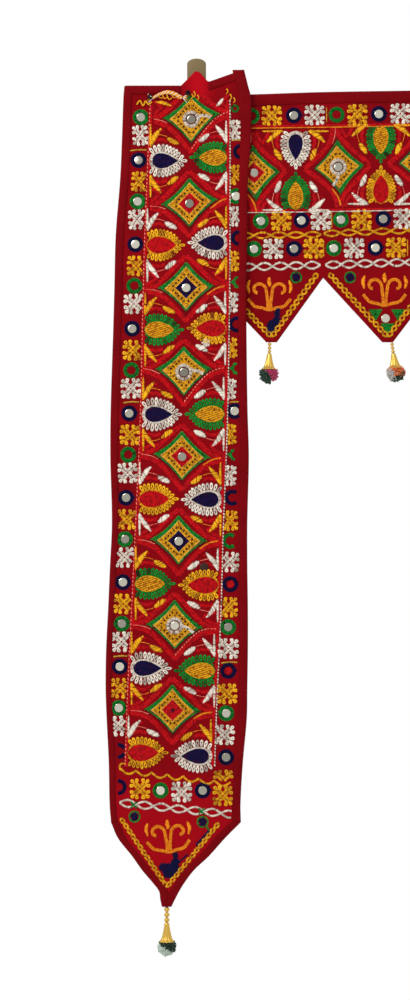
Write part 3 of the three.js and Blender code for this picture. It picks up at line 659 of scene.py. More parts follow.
class Needle:
    """Lays stitches on one cloth, only where allowed, and keeps them by colour of thread."""

    def __init__(self, cloth):
        self.cloth = cloth
        self.kept = {}
        self.allowed = None

    def put(self, colour, kind, place, angle, length, width, height, lift=0.0):
        """Keep stitches of one kind, each a little uneven in size, turn and shade."""
        n = len(place)
        jitter = rng.normal(0, 1, (n, 4))
        rows = np.stack([
            place[:, 0] + jitter[:, 0] * PLACE_SPREAD,
            place[:, 1] + jitter[:, 1] * PLACE_SPREAD,
            angle + jitter[:, 2] * TURN_SPREAD,
            np.broadcast_to(length, n) * (1 + jitter[:, 3] * SIZE_SPREAD),
            np.broadcast_to(width, n) * (1 + jitter[:, 0] * SIZE_SPREAD),
            np.broadcast_to(height, n) * (1 + jitter[:, 1] * HEIGHT_SPREAD),
            np.broadcast_to(lift, n),
            np.clip(SHADE_MIDDLE + jitter[:, 2] * SHADE_SPREAD, 0, 1),
        ], axis=-1)
        if self.allowed is not None:
            rows = rows[self.allowed(rows[:, 0], rows[:, 1])]
        self.kept.setdefault(colour, {}).setdefault(kind, []).append(rows)

    def chain(self, colour, path, width=2.3, pitch=2.1, closed=False, lift=0.0, height=0.85):
        """Chain stitch along a path: each link starts inside the one before."""
        place, angle, step = evenly(path, pitch, closed)
        self.put(colour, "link", place, angle, step * LINE_LINK, width, height, lift)

    def line(self, colour, path, width=0.8, pitch=2.6, closed=False, lift=0.0, share=1.5):
        """Stem stitch, a thin line of thread; stitches overlap where their share is over 1."""
        place, angle, step = evenly(path, pitch, closed)
        self.put(colour, "grain", place, angle + 0.12, step * share, width, 0.7, lift)

    def band(self, colour, path, rows, spacing=1.7, **how):
        """Rows of chain stitch side by side along a path."""
        path = np.asarray(path, float)
        ahead = np.gradient(path, axis=0)
        side = np.stack([-ahead[:, 1], ahead[:, 0]], axis=-1)
        side /= np.linalg.norm(side, axis=1, keepdims=True)
        for shift in (np.arange(rows) - (rows - 1) / 2) * spacing:
            self.chain(colour, path + side * shift, **how)

    def fill(self, colour, outline, turn, hole=None, pitch=2.1, spacing=1.75, width=2.4, lift=0.0):
        """Rows of chain stitch in one direction, kept inside an outline and outside a hole."""
        outline = np.asarray(outline, float)
        middle = outline.mean(axis=0)
        reach = np.linalg.norm(outline - middle, axis=1).max() + pitch
        along, across = np.meshgrid(np.arange(-reach, reach, pitch), np.arange(-reach, reach, spacing))
        along = along + (np.arange(len(along)) % 2)[:, None] * pitch / 2
        c, s = math.cos(turn), math.sin(turn)
        place = np.stack([along * c - across * s, along * s + across * c], axis=-1).reshape(-1, 2)
        place += middle
        keep = inside(place, outline)
        if hole is not None:
            keep &= ~inside(place, hole)
        place = place[keep]
        angle = np.full(len(place), turn)
        self.put(colour, "link", place, angle, pitch * FILL_LINK, width, 0.85, lift)

    def petals(self, colour, roots, tips, width=4.0, lift=0.25, kind="loop"):
        """Loops of thread, or solid links of the same size, each from its root to its tip."""
        ahead = tips - roots
        length = np.linalg.norm(ahead, axis=1)
        angle = np.arctan2(ahead[:, 1], ahead[:, 0])
        self.put(colour, kind, (roots + tips) / 2, angle, length, width, 1.1, lift)

    def ring(self, colour, centre, middle_radius, length, count, width=1.15, lift=0.1):
        """Buttonhole ring: straight stitches that point to its centre."""
        turn = np.arange(count) * 2 * np.pi / count
        spread = np.stack([np.cos(turn), np.sin(turn)], axis=-1)
        self.put(colour, "grain", centre + spread * middle_radius, turn, length, width, 1.0, lift)


def curve(points, count=40):
    """Smooth path through a few points: a Catmull-Rom spline."""
    p = np.asarray(points, float)
    p = np.concatenate([2 * p[:1] - p[1:2], p, 2 * p[-1:] - p[-2:-1]])
    at = np.linspace(0, len(p) - 3, count)
    k = np.minimum(at.astype(int), len(p) - 4)
    t = (at - k)[:, None]
    a, b, c, d = p[k], p[k + 1], p[k + 2], p[k + 3]
    return 0.5 * (2 * b + (c - a) * t + (2 * a - 5 * b + 4 * c - d) * t**2
                  + (3 * b - a - 3 * c + d) * t**3)


def circle(count):
    """Points evenly round a circle of radius 1."""
    turn = np.linspace(0, 2 * np.pi, count + 1)[:-1]
    return np.stack([np.cos(turn), np.sin(turn)], axis=-1)


def triangles(faces):
    """Number of triangles in groups of flat faces: each has two fewer than its corners."""
    return sum(len(group) * (group.shape[1] - 2) for group in faces)


def placed(cx, cz, turn=0.0, flip_x=1, flip_z=1, stretch=1.0, narrow=1.0, slope=(0, 0)):
    """Function that flips, stretches, slopes, turns and moves a motif's own points.

    slope raises each point by that share of its x, left and right of the middle.
    """
    c, s = math.cos(turn), math.sin(turn)

    def at(points):
        p = np.asarray(points, float) * [flip_x * stretch, flip_z * narrow]
        p = p + np.where(p[..., :1] < 0, *slope) * p[..., :1] * [0, 1]
        return p @ np.array([[c, s], [-s, c]]) + [cx, cz]

    return at


print("triangles a stitch:", {kind: triangles(mesh[1]) for kind, mesh in STITCH_MESH.items()})

# %% [markdown]
# The panel's field repeats one lens-shaped pattern between two side lines. A diamond fills
# each waist, and a pair of looped buds meet tip to tip in each lens, with a sprig in every
# corner. Every motif is drawn about its own centre in millimetres and then placed, so the
# same functions, turned on their side, also make the valance.

# %% Diamonds
def bowed(start, end, bow, count):
    """Line from start to end, drawn in toward the origin by bow * 4 * t * (1 - t)."""
    t = np.linspace(0, 1, count)[:, None]
    straight = np.array(start) * (1 - t) + np.array(end) * t
    return straight * (1 - bow * 4 * t * (1 - t))


def sides_of(reach):
    """Four sides of a square that stands on its corner, each as its two ends."""
    corners = np.array([(1, 0), (0, 1), (-1, 0), (0, -1)]) * reach
    return zip(corners, np.roll(corners, -1, axis=0))


def star(reach, bow):
    """Four-pointed outline, its sides drawn in by bow."""
    return np.concatenate([bowed(a, b, bow, 9)[:-1] for a, b in sides_of(reach)])


def diamond_edge(needle, at):
    """Three green chains along each upper side; one chain and a dark line along each lower one."""
    for side in (-1, 1):
        outer = bowed((0, 29.5), (side * 32.5, 0), 0.12, 14)
        inner = bowed((0, 23.0), (side * 25.0, 0), 0.06, 14)
        for share in (0.14, 0.5, 0.84):
            needle.chain("green", at(outer * (1 - share) + inner * share), width=2.4)
        lower = outer * [1, -1]
        edge = inner * [1, -1]
        needle.chain("green", at(lower * 0.42 + edge * 0.58), width=2.4)
        needle.line("black", at(lower * 0.86 + edge * 0.14), width=0.9)


def diamond_field(needle, at, ringed):
    """Yellow chains one inside the other, a cream line round them, and dark dots on them."""
    for reach in (22.1, 19.4, 16.7) + ((14.0, 11.5) if ringed else (14.1,)):
        needle.chain("yellow", at(star(reach, 0.05)), closed=True, width=2.3, pitch=2.5, height=1.0)
    needle.line("cream", at(star(23.8, 0.06)), width=0.9, closed=True, lift=0.15)
    t = np.linspace(0.14, 0.86, 5)[:, None]
    for a, b in sides_of(18.0):
        place = at((a * (1 - t) + b * t) * 0.96)
        needle.put("black", "grain", place, rng.uniform(0, np.pi, 5), 2.6, 1.9, 0.9, 1.0)


def diamond_middle(needle, at, colour, mirrored):
    """Navy or scarlet square, with a ring for a mirror or with a small plum knot."""
    needle.line("cream", at(star(12.6, 0.0)), width=0.8, closed=True, lift=0.1)
    if colour == "navy":
        for reach in (11.6, 9.2):
            needle.chain("navy", at(star(reach, 0.12)), closed=True)
    else:
        hole = at(star(4.8, -0.1)) if mirrored else None
        needle.fill("scarlet", at(star(12.0, -0.02)), 0.5, hole=hole)
    if mirrored:
        needle.ring(colour, at([(0, 0)])[0], 5.9, 2.6, 30, lift=0.4)
    else:
        knot = at([(-1.2, 0.4), (0.2, 1.1), (1.4, 0.2), (0.6, -1.2), (-0.8, -1.0)])
        needle.put("plum", "grain", knot, np.linspace(0, 2.4, 5), 3.2, 1.5, 1.0, 0.8)


def diamond(needle, at, middle, mirrored, tail_turn=0.0):
    """Green-edged diamond filled with yellow chain, dotted, around a coloured middle."""
    ringed = middle == "white"
    diamond_edge(needle, at)
    diamond_field(needle, at, ringed)
    if ringed:
        needle.ring("white", at([(0, 0)])[0], 7.9, 5.0, 44, lift=0.6)
        tail = curve([(8.5, -1), (12, -2.5), (16, -5), (20, -9)])
        needle.band("white", at(placed(0, 0, tail_turn)(tail)), 2, lift=0.55)
    else:
        diamond_middle(needle, at, middle, mirrored)

# %% Buds, sprigs and the bands between them
# A bud's own x runs from the field's middle, past its root, to the side line.
HEART_START = 13.0
FIELD_HALF = 48


def heart_outline(length, fullness, near, far):
    """Bud's heart: half width = fullness * share**near * (1 - share)**far from its start."""
    share = (1 - np.cos(np.linspace(0, np.pi, 26))) / 2
    half = fullness * share**near * (1 - share) ** far
    lower = np.stack([HEART_START + length * share, -half], axis=-1)
    return np.concatenate([lower, lower[-2:0:-1] * [1, -1]])


def grown(outline, by):
    """Closed outline moved outward by a distance along its own normals."""
    ahead = np.roll(outline, -1, axis=0) - np.roll(outline, 1, axis=0)
    out = np.stack([ahead[:, 1], -ahead[:, 0]], axis=-1)
    out /= np.linalg.norm(out, axis=1, keepdims=True)
    return outline + out * by


def bud(needle, at, loops, heart):
    """Looped bud: a filled heart, a chain round it, and petals that stand outward."""
    small = heart == "navy"
    outline = heart_outline(30.3, 21.6, 1, 0.5) if small else heart_outline(33.2, 24.4, 0.85, 0.6)
    open_rows = dict(spacing=2.3, width=2.3) if heart == "yellow" else {}
    needle.fill(heart, at(grown(outline, -0.6)), 0.32, **open_rows)
    needle.chain(heart, at(grown(outline, -0.5)), closed=True, width=1.8)
    needle.line("white" if small else loops, at(grown(outline, 0.6)), closed=True, lift=0.25)
    rim = grown(outline, 1.6)
    rim = np.roll(rim, -np.argmax(rim[:, 0]), axis=0)
    needle.chain(loops, at(rim[rim[:, 0] < FIELD_HALF - 2]))
    if small:
        end = grown(outline, 3.3)
        needle.chain(loops, at(end[end[:, 0] > FIELD_HALF - 7]), width=2.6)
    root, angle, _ = evenly(grown(outline, 2.4 if small else 1.7), 3.7, closed=True)
    out = np.stack([np.sin(angle), -np.cos(angle)], axis=-1)
    length = ((8.0 if small else 7.2) - 1.0 * (root[:, 0] < HEART_START + 2))[:, None]
    shown = root[:, 0] + out[:, 0] * 7 < FIELD_HALF
    needle.petals(loops, at(root[shown]), at((root + out * length)[shown]), width=4.2)
    needle.petals(loops, at(np.array([(9.5, 0)])), at(np.array([(1.5, 0)])))


def leaf(needle, colour, at, spine, widths):
    """Satin leaf: straight stitches slanted across a spine of changing width."""
    place, angle, _ = evenly(at(spine), 1.05)
    wide = np.interp(np.linspace(0, 1, len(place)), np.linspace(0, 1, len(widths)), widths)
    needle.put(colour, "grain", place, angle + np.pi / 2 - 0.6, wide * 1.3, 2.3, 1.3, 0.0)


# Rows: spine and widths of the forked leaf's two tongues and of the oval leaf.
SPRIG_LEAVES = [
    ([(46, 16.5), (43.6, 22), (39.5, 29), (33.0, 36.4)], [2.0, 5.2, 6.8, 5.2, 1.8]),
    ([(46, 18), (45.8, 30), (45.8, 41.5)], [3.0, 3.2, 2.6, 1.4]),
    ([(12.6, 18.8), (18.5, 22.0), (24.8, 26.0)], [3.4, 6.4, 7.2, 6.4, 3.2]),
]


def sprig(needle, at, colour):
    """Forked leaf on the side line, an oval leaf, and a thin stem between them."""
    for spine, widths in SPRIG_LEAVES:
        leaf(needle, colour, at, curve(spine), widths)
    stem = curve([(46, 21), (41.5, 26.5), (35, 29.5), (26, 27.5)])
    needle.line("ochre" if colour == "yellow" else "pink", at(stem), width=0.9)
    needle.chain("scarlet", at(curve([(44, 25), (37, 33.5), (30, 34)])))
    needle.band("scarlet", at(curve([(41, 22.5), (33, 24), (26, 22)])), 2)


def lens(needle, at, half, full_arc):
    """Scarlet bands round a diamond's upper sides, and arcs that meet in a V below it."""
    needle.line("pink", at(curve([(-half, -0.5), (-36, -1.5), (-27, -4.6)])), width=1.0, lift=0.2)
    if full_arc:
        arc = curve([(half, 0.8), (36, -0.8), (26, -5.3), (14, -17), (0, -34)])
        needle.line("pink", at(arc), width=1.4, pitch=3.8, lift=0.2, share=0.88)
    else:
        arc = curve([(half - 2, 0.4), (34, -2.2), (24, -8.4)])
        needle.band("ochre", at(arc), 1, lift=0.2)
    for side in (-1, 1):
        upper = curve([(0, 36), (11, 26), (23, 13.5), (34, 4), (half, 0.5)]) * [side, 1]
        lower = curve([(half, -3), (36, -5), (26, -9.5), (14, -21), (0, -38)]) * [side, 1]
        needle.band("scarlet", at(upper), 3, pitch=2.4)
        needle.band("scarlet", at(lower), 3, pitch=2.4)
        wedge = curve([(half, 5), (38, 8.5), (34, 13), (half, 20)]) * [side, 1]
        needle.band("scarlet", at(wedge), 2)


# %% Border motifs
FULL_RING = 42


def cross(needle, colour, centre, turn=0.0, wide=1.0, quarters=(0, 1, 2, 3)):
    """Cross: four diagonal arms of double chain, with three short lobes at each end."""
    at = placed(*centre, turn, stretch=wide)
    slim = 0.45 + 0.55 * wide
    for quarter in quarters:
        angle = np.pi / 4 + quarter * np.pi / 2
        ahead = np.array([math.cos(angle), math.sin(angle)])
        side = np.array([-ahead[1], ahead[0]])
        for shift in (-1.7, 1.7):
            arm = at([side * shift, ahead * 9.6 + side * shift])
            needle.chain(colour, arm, width=3.6 * slim, height=1.1)
        roots = np.array([ahead * 8.2, ahead * 6.6 + side * 1.8, ahead * 6.6 - side * 1.8])
        tips = np.array([ahead * 14.6, ahead * 10.8 + side * 5.9, ahead * 10.8 - side * 5.9])
        needle.petals(colour, at(roots), at(tips), width=4.8 * slim, lift=0.3, kind="link")


def eye(needle, colour, centre, start=0.0, sweep=2 * np.pi, middle=None):
    """Ring of buttonhole stitches for a mirror; a part sweep leaves a crescent."""
    whole = sweep == 2 * np.pi
    count = int(FULL_RING * sweep / (2 * np.pi))
    turn = start + (np.arange(count) + 0.5) * sweep / count
    spread = np.stack([np.cos(turn), np.sin(turn)], axis=-1)
    centre = np.asarray(centre, float)
    needle.put(colour, "grain", centre + spread * 6.7, turn, 4.6, 1.25, 1.2, 0.15)
    path = centre + spread * 8.4
    needle.chain(colour, path, closed=whole, width=1.6, pitch=1.9, height=0.8)
    if colour == "navy" and whole:
        needle.put(colour, "grain", centre + [[9.6, 0.6]], np.zeros(1), 3.6, 1.9, 0.8)
    if middle:
        needle.fill(middle, centre + circle(16) * 3.6, 0.4, spacing=1.5, pitch=1.8)


def wave_chain(needle, colour, start, end, rise, length, phase, **how):
    """Chain stitch along a sine wave laid on a straight line."""
    start, end = np.array(start, float), np.array(end, float)
    reach = np.linalg.norm(end - start)
    t = np.linspace(0, 1, int(reach))[:, None]
    ahead = (end - start) / reach
    side = np.array([-ahead[1], ahead[0]])
    path = start + (end - start) * t + side * rise * np.sin(2 * np.pi * t * reach / length + phase)
    needle.chain(colour, path, **how)


def crossed_waves(needle, colour, start, end, rise, length, width, lift):
    """Two waves that cross, the second one lying over the first by lift."""
    wave_chain(needle, colour, start, end, rise, length, 0.0, width=width)
    wave_chain(needle, colour, start, end, rise, length, np.pi, width=width, lift=lift)


def braid(needle, start, end, length):
    """White braid: two wide waves that cross."""
    crossed_waves(needle, "white", start, end, 4.0, length, 2.9, 0.45)


def zigzag(needle, start, end, rise=2.0):
    """Two narrow yellow waves that cross: a chain of small eyes, closed at both ends."""
    reach = math.dist(start, end)
    length = 2 * reach / round(2 * reach / 14.5)
    crossed_waves(needle, "yellow", start, end, rise, length, 2.6, 0.4)


def trefoil(needle, centre, lobes):
    """Navy leaf of overlapping round lobes, given as x, z and radius."""
    for n, (x, z, radius) in enumerate(lobes):
        needle.fill("navy", np.array(centre) + [x, z] + circle(12) * radius, 0.9, lift=0.1 * n)


def scroll(needle, at):
    """Generic ornament for the middle of a flag: two curls and two leaves on a stem."""
    turn = np.linspace(0, 4.4, 44)
    radius = np.linspace(9.0, 3.2, 44)
    curl = np.stack([12.5 - radius * np.cos(turn), 5 + radius * np.sin(turn)], axis=-1)
    curl = np.concatenate([curve([(1.5, -19), (1.8, -8), (3.0, 1)], 12)[:-1], curl])
    arm = curve([(2, -17), (9, -15), (17, -13), (24, -5)])
    spine = curve([(23, 2), (24.5, 9), (22.5, 16)])
    for side in (-1, 1):
        needle.band("ochre", at(curl * [side, 1]), 2, lift=0.15)
        needle.band("ochre", at(arm * [side, 1]), 2, lift=0.15)
        leaf(needle, "ochre", at, spine * [side, 1], [2.0, 4.2, 4.6, 2.0])
    leaf(needle, "ochre", at, [(0, 9), (0, 14), (0, 19)], [2.5, 5.5, 5.0, 2.0])


def dot(needle, centre):
    """Navy dot in a green ring."""
    needle.chain("green", np.asarray(centre) + circle(14) * 6.0, closed=True, width=2.4)
    needle.fill("navy", np.asarray(centre) + circle(14) * 4.9, 0.3)


# %% [markdown]
# The panel's own charts: where each motif sits, counted from the top. Rows are the repeat
# number, and the colours run in threes down each side, one step apart.

# %% Embroider the panel
SIDE_LINES = table("z left right", [
    (-14, -51.2, 35.6), (-184, -57.8, 35.6), (-300, -60.6, 34.2), (-388, -63.0, 32.4),
    (-489, -67.5, 28.4), (-602, -72.8, 25.0), (-693, -77.2, 20.8), (-768, -79.5, 18.2),
])
# Rows of motifs down the panel: height of the first, and the drop from each to the next.
ROWS = {
    "diamond": (-36.2, 95.4), "left_bud": (-83.2, 95.6), "right_bud": (-79.4, 96.7),
    "left_green": (-33.9, 95.4), "left_navy": (-82.5, 95.4),
    "right_green": (-123.2, 97.4), "right_navy": (-72.8, 97.8),
    "right_white": (-48.3, 97.7), "right_yellow": (-99.3, 97.7),
}
BUD_COLOURS = [("white", "navy"), ("yellow", "scarlet"), ("green", "yellow")]
MIDDLES = ["white", "scarlet", "navy", "white", "scarlet", "navy", "white", "scarlet"]
DIAMONDS = table("shift left right tail", [
    (0.4, -0.02, 0.19, 0.35), (1.5, 0.06, 0.13, 0), (1.0, 0.03, 0.04, 0), (1.5, -0.10, 0.10, 0.25),
    (2.5, -0.08, -0.04, 0), (2.0, -0.05, 0.0, 0), (0.5, -0.03, -0.09, 0.15), (1.2, 0.0, -0.06, 0),
])
LAST = len(MIDDLES) - 1
mirrors = {"panel": [], "valance": []}
panel = Needle("panel")


def row_z(row, k):
    """Height of motif k in a row: first - drop * k."""
    first, drop = ROWS[row]
    return first - drop * k


def field(z):
    """Middle and half width of the panel's field at height z."""
    left = smooth_read(SIDE_LINES, "z", "left", z)
    right = smooth_read(SIDE_LINES, "z", "right", z)
    return float(left + right) / 2, float(right - left) / 2


def side_line(side, shift, colour, **how):
    """Two scarlet rows along a side of the field, with a dashed line of thread shifted on them."""
    z = np.linspace(SIDE_LINES["z"][0], SIDE_LINES["z"][-1], 120)
    path = np.stack([smooth_read(SIDE_LINES, "z", side, z), z], axis=-1)
    panel.band("scarlet", path, 2)
    panel.line(colour, path + [shift, 0], lift=0.9, **how)


def buds_of_row(k):
    """Left and right bud of one lens, each with a sprig above and below it."""
    for side, row, ahead in ((-1, "left_bud", 0), (1, "right_bud", 2)):
        z = row_z(row, k)
        x, half = field(z)
        loops, heart = BUD_COLOURS[(k + ahead) % 3]
        stretch = half / FIELD_HALF
        bud(panel, placed(x, z, flip_x=side, stretch=stretch), loops, heart)
        leaf_colour = "white" if (k % 3 == 1) == (side < 0) else "yellow"
        ends = (-1, 1) if k < LAST else (1,)
        for up in ends:
            at = placed(x, z, flip_x=side, flip_z=up, stretch=stretch)
            sprig(panel, at, leaf_colour)


side_line("left", -1.1, "pink", width=1.3, pitch=4.4, share=0.75)
side_line("right", 2.3, "white", width=1.6, pitch=3.6, share=0.92)
for k, middle in enumerate(MIDDLES):
    x, z = -6.4 - 3.13 * k + DIAMONDS["shift"][k], row_z("diamond", k)
    at = placed(x, z, slope=(DIAMONDS["left"][k], DIAMONDS["right"][k]))
    lens(panel, at, field(z)[1] - 1.5, middle == "white")
    diamond(panel, at, middle, k < LAST, DIAMONDS["tail"][k])
    if k < LAST:
        mirrors["panel"].append((x, z))
    buds_of_row(k)
laid = [rows for kinds in panel.kept.values() for blocks in kinds.values() for rows in blocks]
print("stitches in the field:", sum(len(rows) for rows in laid))

# %% [markdown]
# Rings for mirrors and crosses take turns down both side borders. The field's side lines cut
# into the narrow right one, so stitches are kept only where they lie outside those lines.
# The foot has a row and a braid of its own, and a wavy double chain along its point.

# %% Borders and foot of the panel
# The crosses beside the right side line: middle and width share of the white and yellow one.
RIGHT_CROSSES = table("white white_wide yellow yellow_wide", [
    (43.5, 0.56, 45.0, 0.66), (43.6, 0.60, 41.9, 0.56), (40.8, 0.54, 39.7, 0.56), (38.9, 0.52, 38.5, 0.56),
    (37.5, 0.66, 38.1, 0.76), (37.6, 0.95, 36.3, 0.90), (36.0, 1.02, 34.4, 1.02), (31.5, 1.00, 30.5, 1.00),
])
LEFT_WIDE = [0.78, 0.88, 1.0, 1.0, 1.0, 1.0, 1.0, 1.0]
# Start and sweep, in radians, of the rings that are open on their right or on their left.
OPEN_RIGHT = (0.9, 4.5)
OPEN_LEFT = (-1.7, 3.4)


def beside_field(x, z):
    """True outside the side lines, where the borders are worked."""
    left = smooth_read(SIDE_LINES, "z", "left", z)
    right = smooth_read(SIDE_LINES, "z", "right", z)
    return (x < left - 3.0) | (x > right + 3.3)


def right_green_motif(k, place):
    """Green ring beside the right side line, or a pair of chevrons where there is no room."""
    if k not in (1, 2, 3):
        eye(panel, "green", place, *(OPEN_RIGHT if k == 4 else ()))
        return
    z = place[1]
    x = smooth_read(SIDE_LINES, "z", "right", z) + 4.6
    for reach in (7.0, 4.5):
        chevron = [(x + reach, z + 6), (x + 7 - reach, z), (x + reach, z - 6)]
        panel.chain("green", chevron, width=3.4)


def border_step(k):
    """One repeat of both side borders: rings and crosses, and the mirrors that are still there."""
    left_green = np.array([-63.0 - 3.55 * k, row_z("left_green", k)])
    left_navy = np.array([-65.6 - 3.5 * k, row_z("left_navy", k)])
    right_green = np.array([min(46.8 - 2.2 * k, 44.6), row_z("right_green", k)])
    right_navy = np.array([50.2 - 2.4 * k, row_z("right_navy", k)])
    white_x, white_wide, yellow_x, yellow_wide = (column[k] for column in RIGHT_CROSSES.values())
    eye(panel, "green", left_green)
    cross(panel, "white", left_green + [-0.5, -20.6], 0.05, LEFT_WIDE[k])
    cross(panel, "white", (white_x, row_z("right_white", k)), -0.04, white_wide)
    quarters = (0, 1, 2, 3) if k < LAST else (0, 1)
    cross(panel, "yellow", (yellow_x, row_z("right_yellow", k)), 0.03, yellow_wide, quarters)
    if k < LAST:
        eye(panel, "navy", left_navy)
        cross(panel, "yellow", left_navy + [0.8, -24.5], -0.05, LEFT_WIDE[k])
        mirrors["panel"].append(tuple(left_navy))
        right_green_motif(k, right_green)
    else:
        eye(panel, "navy", left_navy + [2.0, 0.0], *OPEN_LEFT)
    if k not in (2, 3, 4):
        mirrors["panel"].append(tuple(left_green))
    if k in (0, 5, 6):
        mirrors["panel"].append(tuple(right_green))
    if k in (3, 7):
        mirrors["panel"].append(tuple(right_navy))
    opening = OPEN_RIGHT if k in (0, 1, 2, 4) else ()
    eye(panel, "navy", right_navy, *opening, middle="scarlet" if k in (5, 6) else None)


panel.allowed = beside_field
for k in range(len(MIDDLES)):
    border_step(k)
panel.ring("green", np.array([43.6, -24]), 3.6, 3.6, 20)
panel.allowed = None
for colour, spine in (("white", [(22.5, -21), (26.5, -17.5), (30.5, -12.5)]),
                      ("yellow", [(-46, -16.5), (-38, -17.5), (-29, -21)])):
    leaf(panel, colour, placed(0, 0), curve(spine), [1.8, 4.2, 4.6, 1.8])
panel.allowed = beside_field
for x, z in ((-66, -71), (44.6, -60), (-74, -356), (42.4, -356), (-85.3, -643), (36.7, -650)):
    panel.band("gold", [(x - 9, z - 0.8), (x, z + 0.3), (x + 9, z)], 1, width=2.0, lift=0.2)
panel.allowed = None
panel.fill("white", np.array([10.5, -289.5]) + 4.6 * circle(14), 0.4, lift=0.3)

# The foot: a scalloped line, a row of rings and crosses, a braid, and the pointed end.
t = np.linspace(0, 1, 200)[:, None]
scallops = np.array([-86, -772]) * (1 - t) + np.array([38, -788]) * t
panel.chain("yellow", scallops - [0, 1] * (5.0 * np.abs(np.sin(np.pi * 7 * t)) - 2), width=3.0)
panel.chain("yellow", [(-86, -772), (-87, -767), (-84, -764), (-80, -765)], width=2.8)
eye(panel, "navy", (-88, -791), *OPEN_LEFT)
cross(panel, "yellow", (-63.8, -793))
eye(panel, "green", (-40.6, -795))
cross(panel, "white", (-16.8, -796.5))
eye(panel, "navy", (7, -795))
cross(panel, "yellow", (29.8, -801))
mirrors["panel"] += [(-40.6, -795), (7, -795)]
braid(panel, (-87, -808.5), (39, -822), length=38.4)
for x, z in ((-71, -811), (5.5, -818.5)):
    for slant in (-3.4, 3.4):
        panel.chain("green", [(x - 3.4, z + slant), (x + 3.4, z - slant)], width=2.2, lift=0.9)
zigzag(panel, (-85.5, -826), (-33.5, -903.5))
zigzag(panel, (-33.5, -903.5), (25, -832))
dot(panel, (-70, -824.4))
dot(panel, (7.1, -830.4))
panel.chain("green", [(11.5, -836), (15, -840.5)], width=2.8)
scroll(panel, placed(-32, -847, 0.05))
panel.band("navy", [(-0.5, -857), (14, -841)], 2)
trefoil(panel, (-31, -884), (
    (-6.0, 2.0, 5.6), (-1.0, -4.5, 6.4), (4.5, 1.5, 7.0), (6.8, 9.5, 4.2), (7.2, 15.5, 3.4),
))
panel.chain("navy", [(-22, -878), (-10, -867)], width=2.6)
print("motifs on the panel's borders are laid")

# %% [markdown]
# The valance's field is the same pattern turned on its side: its lenses lie along the cloth
# and its buds stand above and below. Three rows of border motifs, a chain of overlapping
# loops and a braid run along it, and each flag has a double wavy chain along its edges.

# %% Embroider the valance
valance = Needle("valance")
QUARTER = -np.pi / 2
# Rows: middle of the diamond, and the colour of its own middle.
VALANCE_DIAMONDS = [((65.0, -96.1), "scarlet"), ((160.5, -89.3), "white"), ((256.0, -83.5), "scarlet")]
# Rows: place of a pair of buds, then loops and heart of each: flip -1 is above it, 1 below.
VALANCE_BUDS = [
    ((112.4, -93.5), {-1: ("white", "navy"), 1: ("green", "yellow")}),
    ((209.0, -86.5), {-1: ("green", "yellow"), 1: ("yellow", "scarlet")}),
]
# Rows: two places on a row's middle line, then its motifs from left to right.
BORDER_ROWS = [
    ((60, -31.5), (270, -28), [
        (62.7, "bare", "green"), (85.3, "cross", "yellow"), (110.2, "eye", "navy"),
        (133.9, "cross", "white"), (147.5, "line", "gold"), (158.8, "bare", "green"),
        (182.5, "cross", "yellow"), (206.8, "eye", "navy"), (231.1, "cross", "white"),
        (245, "line", "gold"), (257, "eye", "green"),
    ]),
    ((60, -151), (270, -147.5), [
        (72.9, "eye", "green"), (96, "cross", "yellow"), (118.8, "eye", "navy"),
        (141, "cross", "white"), (153, "line", "gold"), (163.5, "eye", "green"),
        (186.9, "cross", "yellow"), (211.4, "eye", "navy"), (234.3, "cross", "white"),
        (257.5, "bare", "green"),
    ]),
    ((60, -182.5), (270, -180.5), [
        (65, "eye", "green"), (87, "cross", "white"), (110.4, "eye", "navy"),
        (132.5, "cross", "yellow"), (144, "line", "yellow"), (155.4, "eye", "green"),
        (178.4, "cross", "white"), (202.6, "eye", "navy"), (226, "cross", "yellow"),
        (239, "line", "yellow"), (250.5, "bare", "green"), (268, "cross", "white"),
    ]),
]


def bud_pair(x, z, pair):
    """A bud above and a bud below one place of the valance, each between two sprigs."""
    for flip, (loops, heart) in pair.items():
        at = placed(x, z, QUARTER, flip_x=flip, stretch=0.95, narrow=0.94)
        bud(valance, at, loops, heart)
        for along in (-1, 1):
            at = placed(x, z, QUARTER, flip_x=flip, flip_z=along, stretch=0.98, narrow=0.9)
            sprig(valance, at, "yellow" if flip < 0 else "white")


def border_row(start, end, motifs):
    """Row of rings and crosses along a line of the valance; a bare ring has no mirror."""
    start, end = np.array(start, float), np.array(end, float)
    for x, kind, colour in motifs:
        share = (x - start[0]) / (end[0] - start[0])
        centre = start * (1 - share) + end * share
        if kind == "cross":
            cross(valance, colour, centre)
        elif kind == "line":
            valance.line(colour, [centre + [0, 9], centre - [0, 9]], width=1.4)
        else:
            eye(valance, colour, centre)
            if kind == "eye":
                mirrors["valance"].append(tuple(centre))


for (x, z), middle in VALANCE_DIAMONDS:
    at = placed(x, z, QUARTER + 0.06)
    lens(valance, at, 46, False)
    diamond(valance, at, middle, True, 0.1)
    mirrors["valance"].append((x, z))
for (x, z), pair in VALANCE_BUDS:
    bud_pair(x, z, pair)
for start, end, motifs in BORDER_ROWS:
    border_row(start, end, motifs)
for z, colour in ((-42.5, "ochre"), (-138.5, "white")):
    valance.band("scarlet", [(50, z - 1.5), (160, z), (271, z + 2)], 2)
    valance.line(colour, [(50, z - 3), (160, z - 1.5), (271, z + 0.5)], width=1.3, lift=0.9)
for start, end in (((46, -167.5), (141, -166)), ((144, -165), (271, -160))):
    crossed_waves(valance, "yellow", start, end, 3.3, 38, 2.8, 0.4)
braid(valance, (50, -203), (140, -200.5), length=36)
braid(valance, (146, -200.5), (270, -196.5), length=36)
for left, tip, right in zip(*FLAGS.values()):
    for corner_x, tip_x in ((left + 6.5, tip - 0.5), (right - 6.5, tip + 0.5)):
        zigzag(valance, (corner_x, NOTCH_Z + 5), (tip_x, FLAG_TIP_Z + 6.5), rise=2.5)
scroll(valance, placed(82.5, -234))
scroll(valance, placed(213, -229))
for x in (112.9, 174.1):
    dot(valance, (x, -214.5))
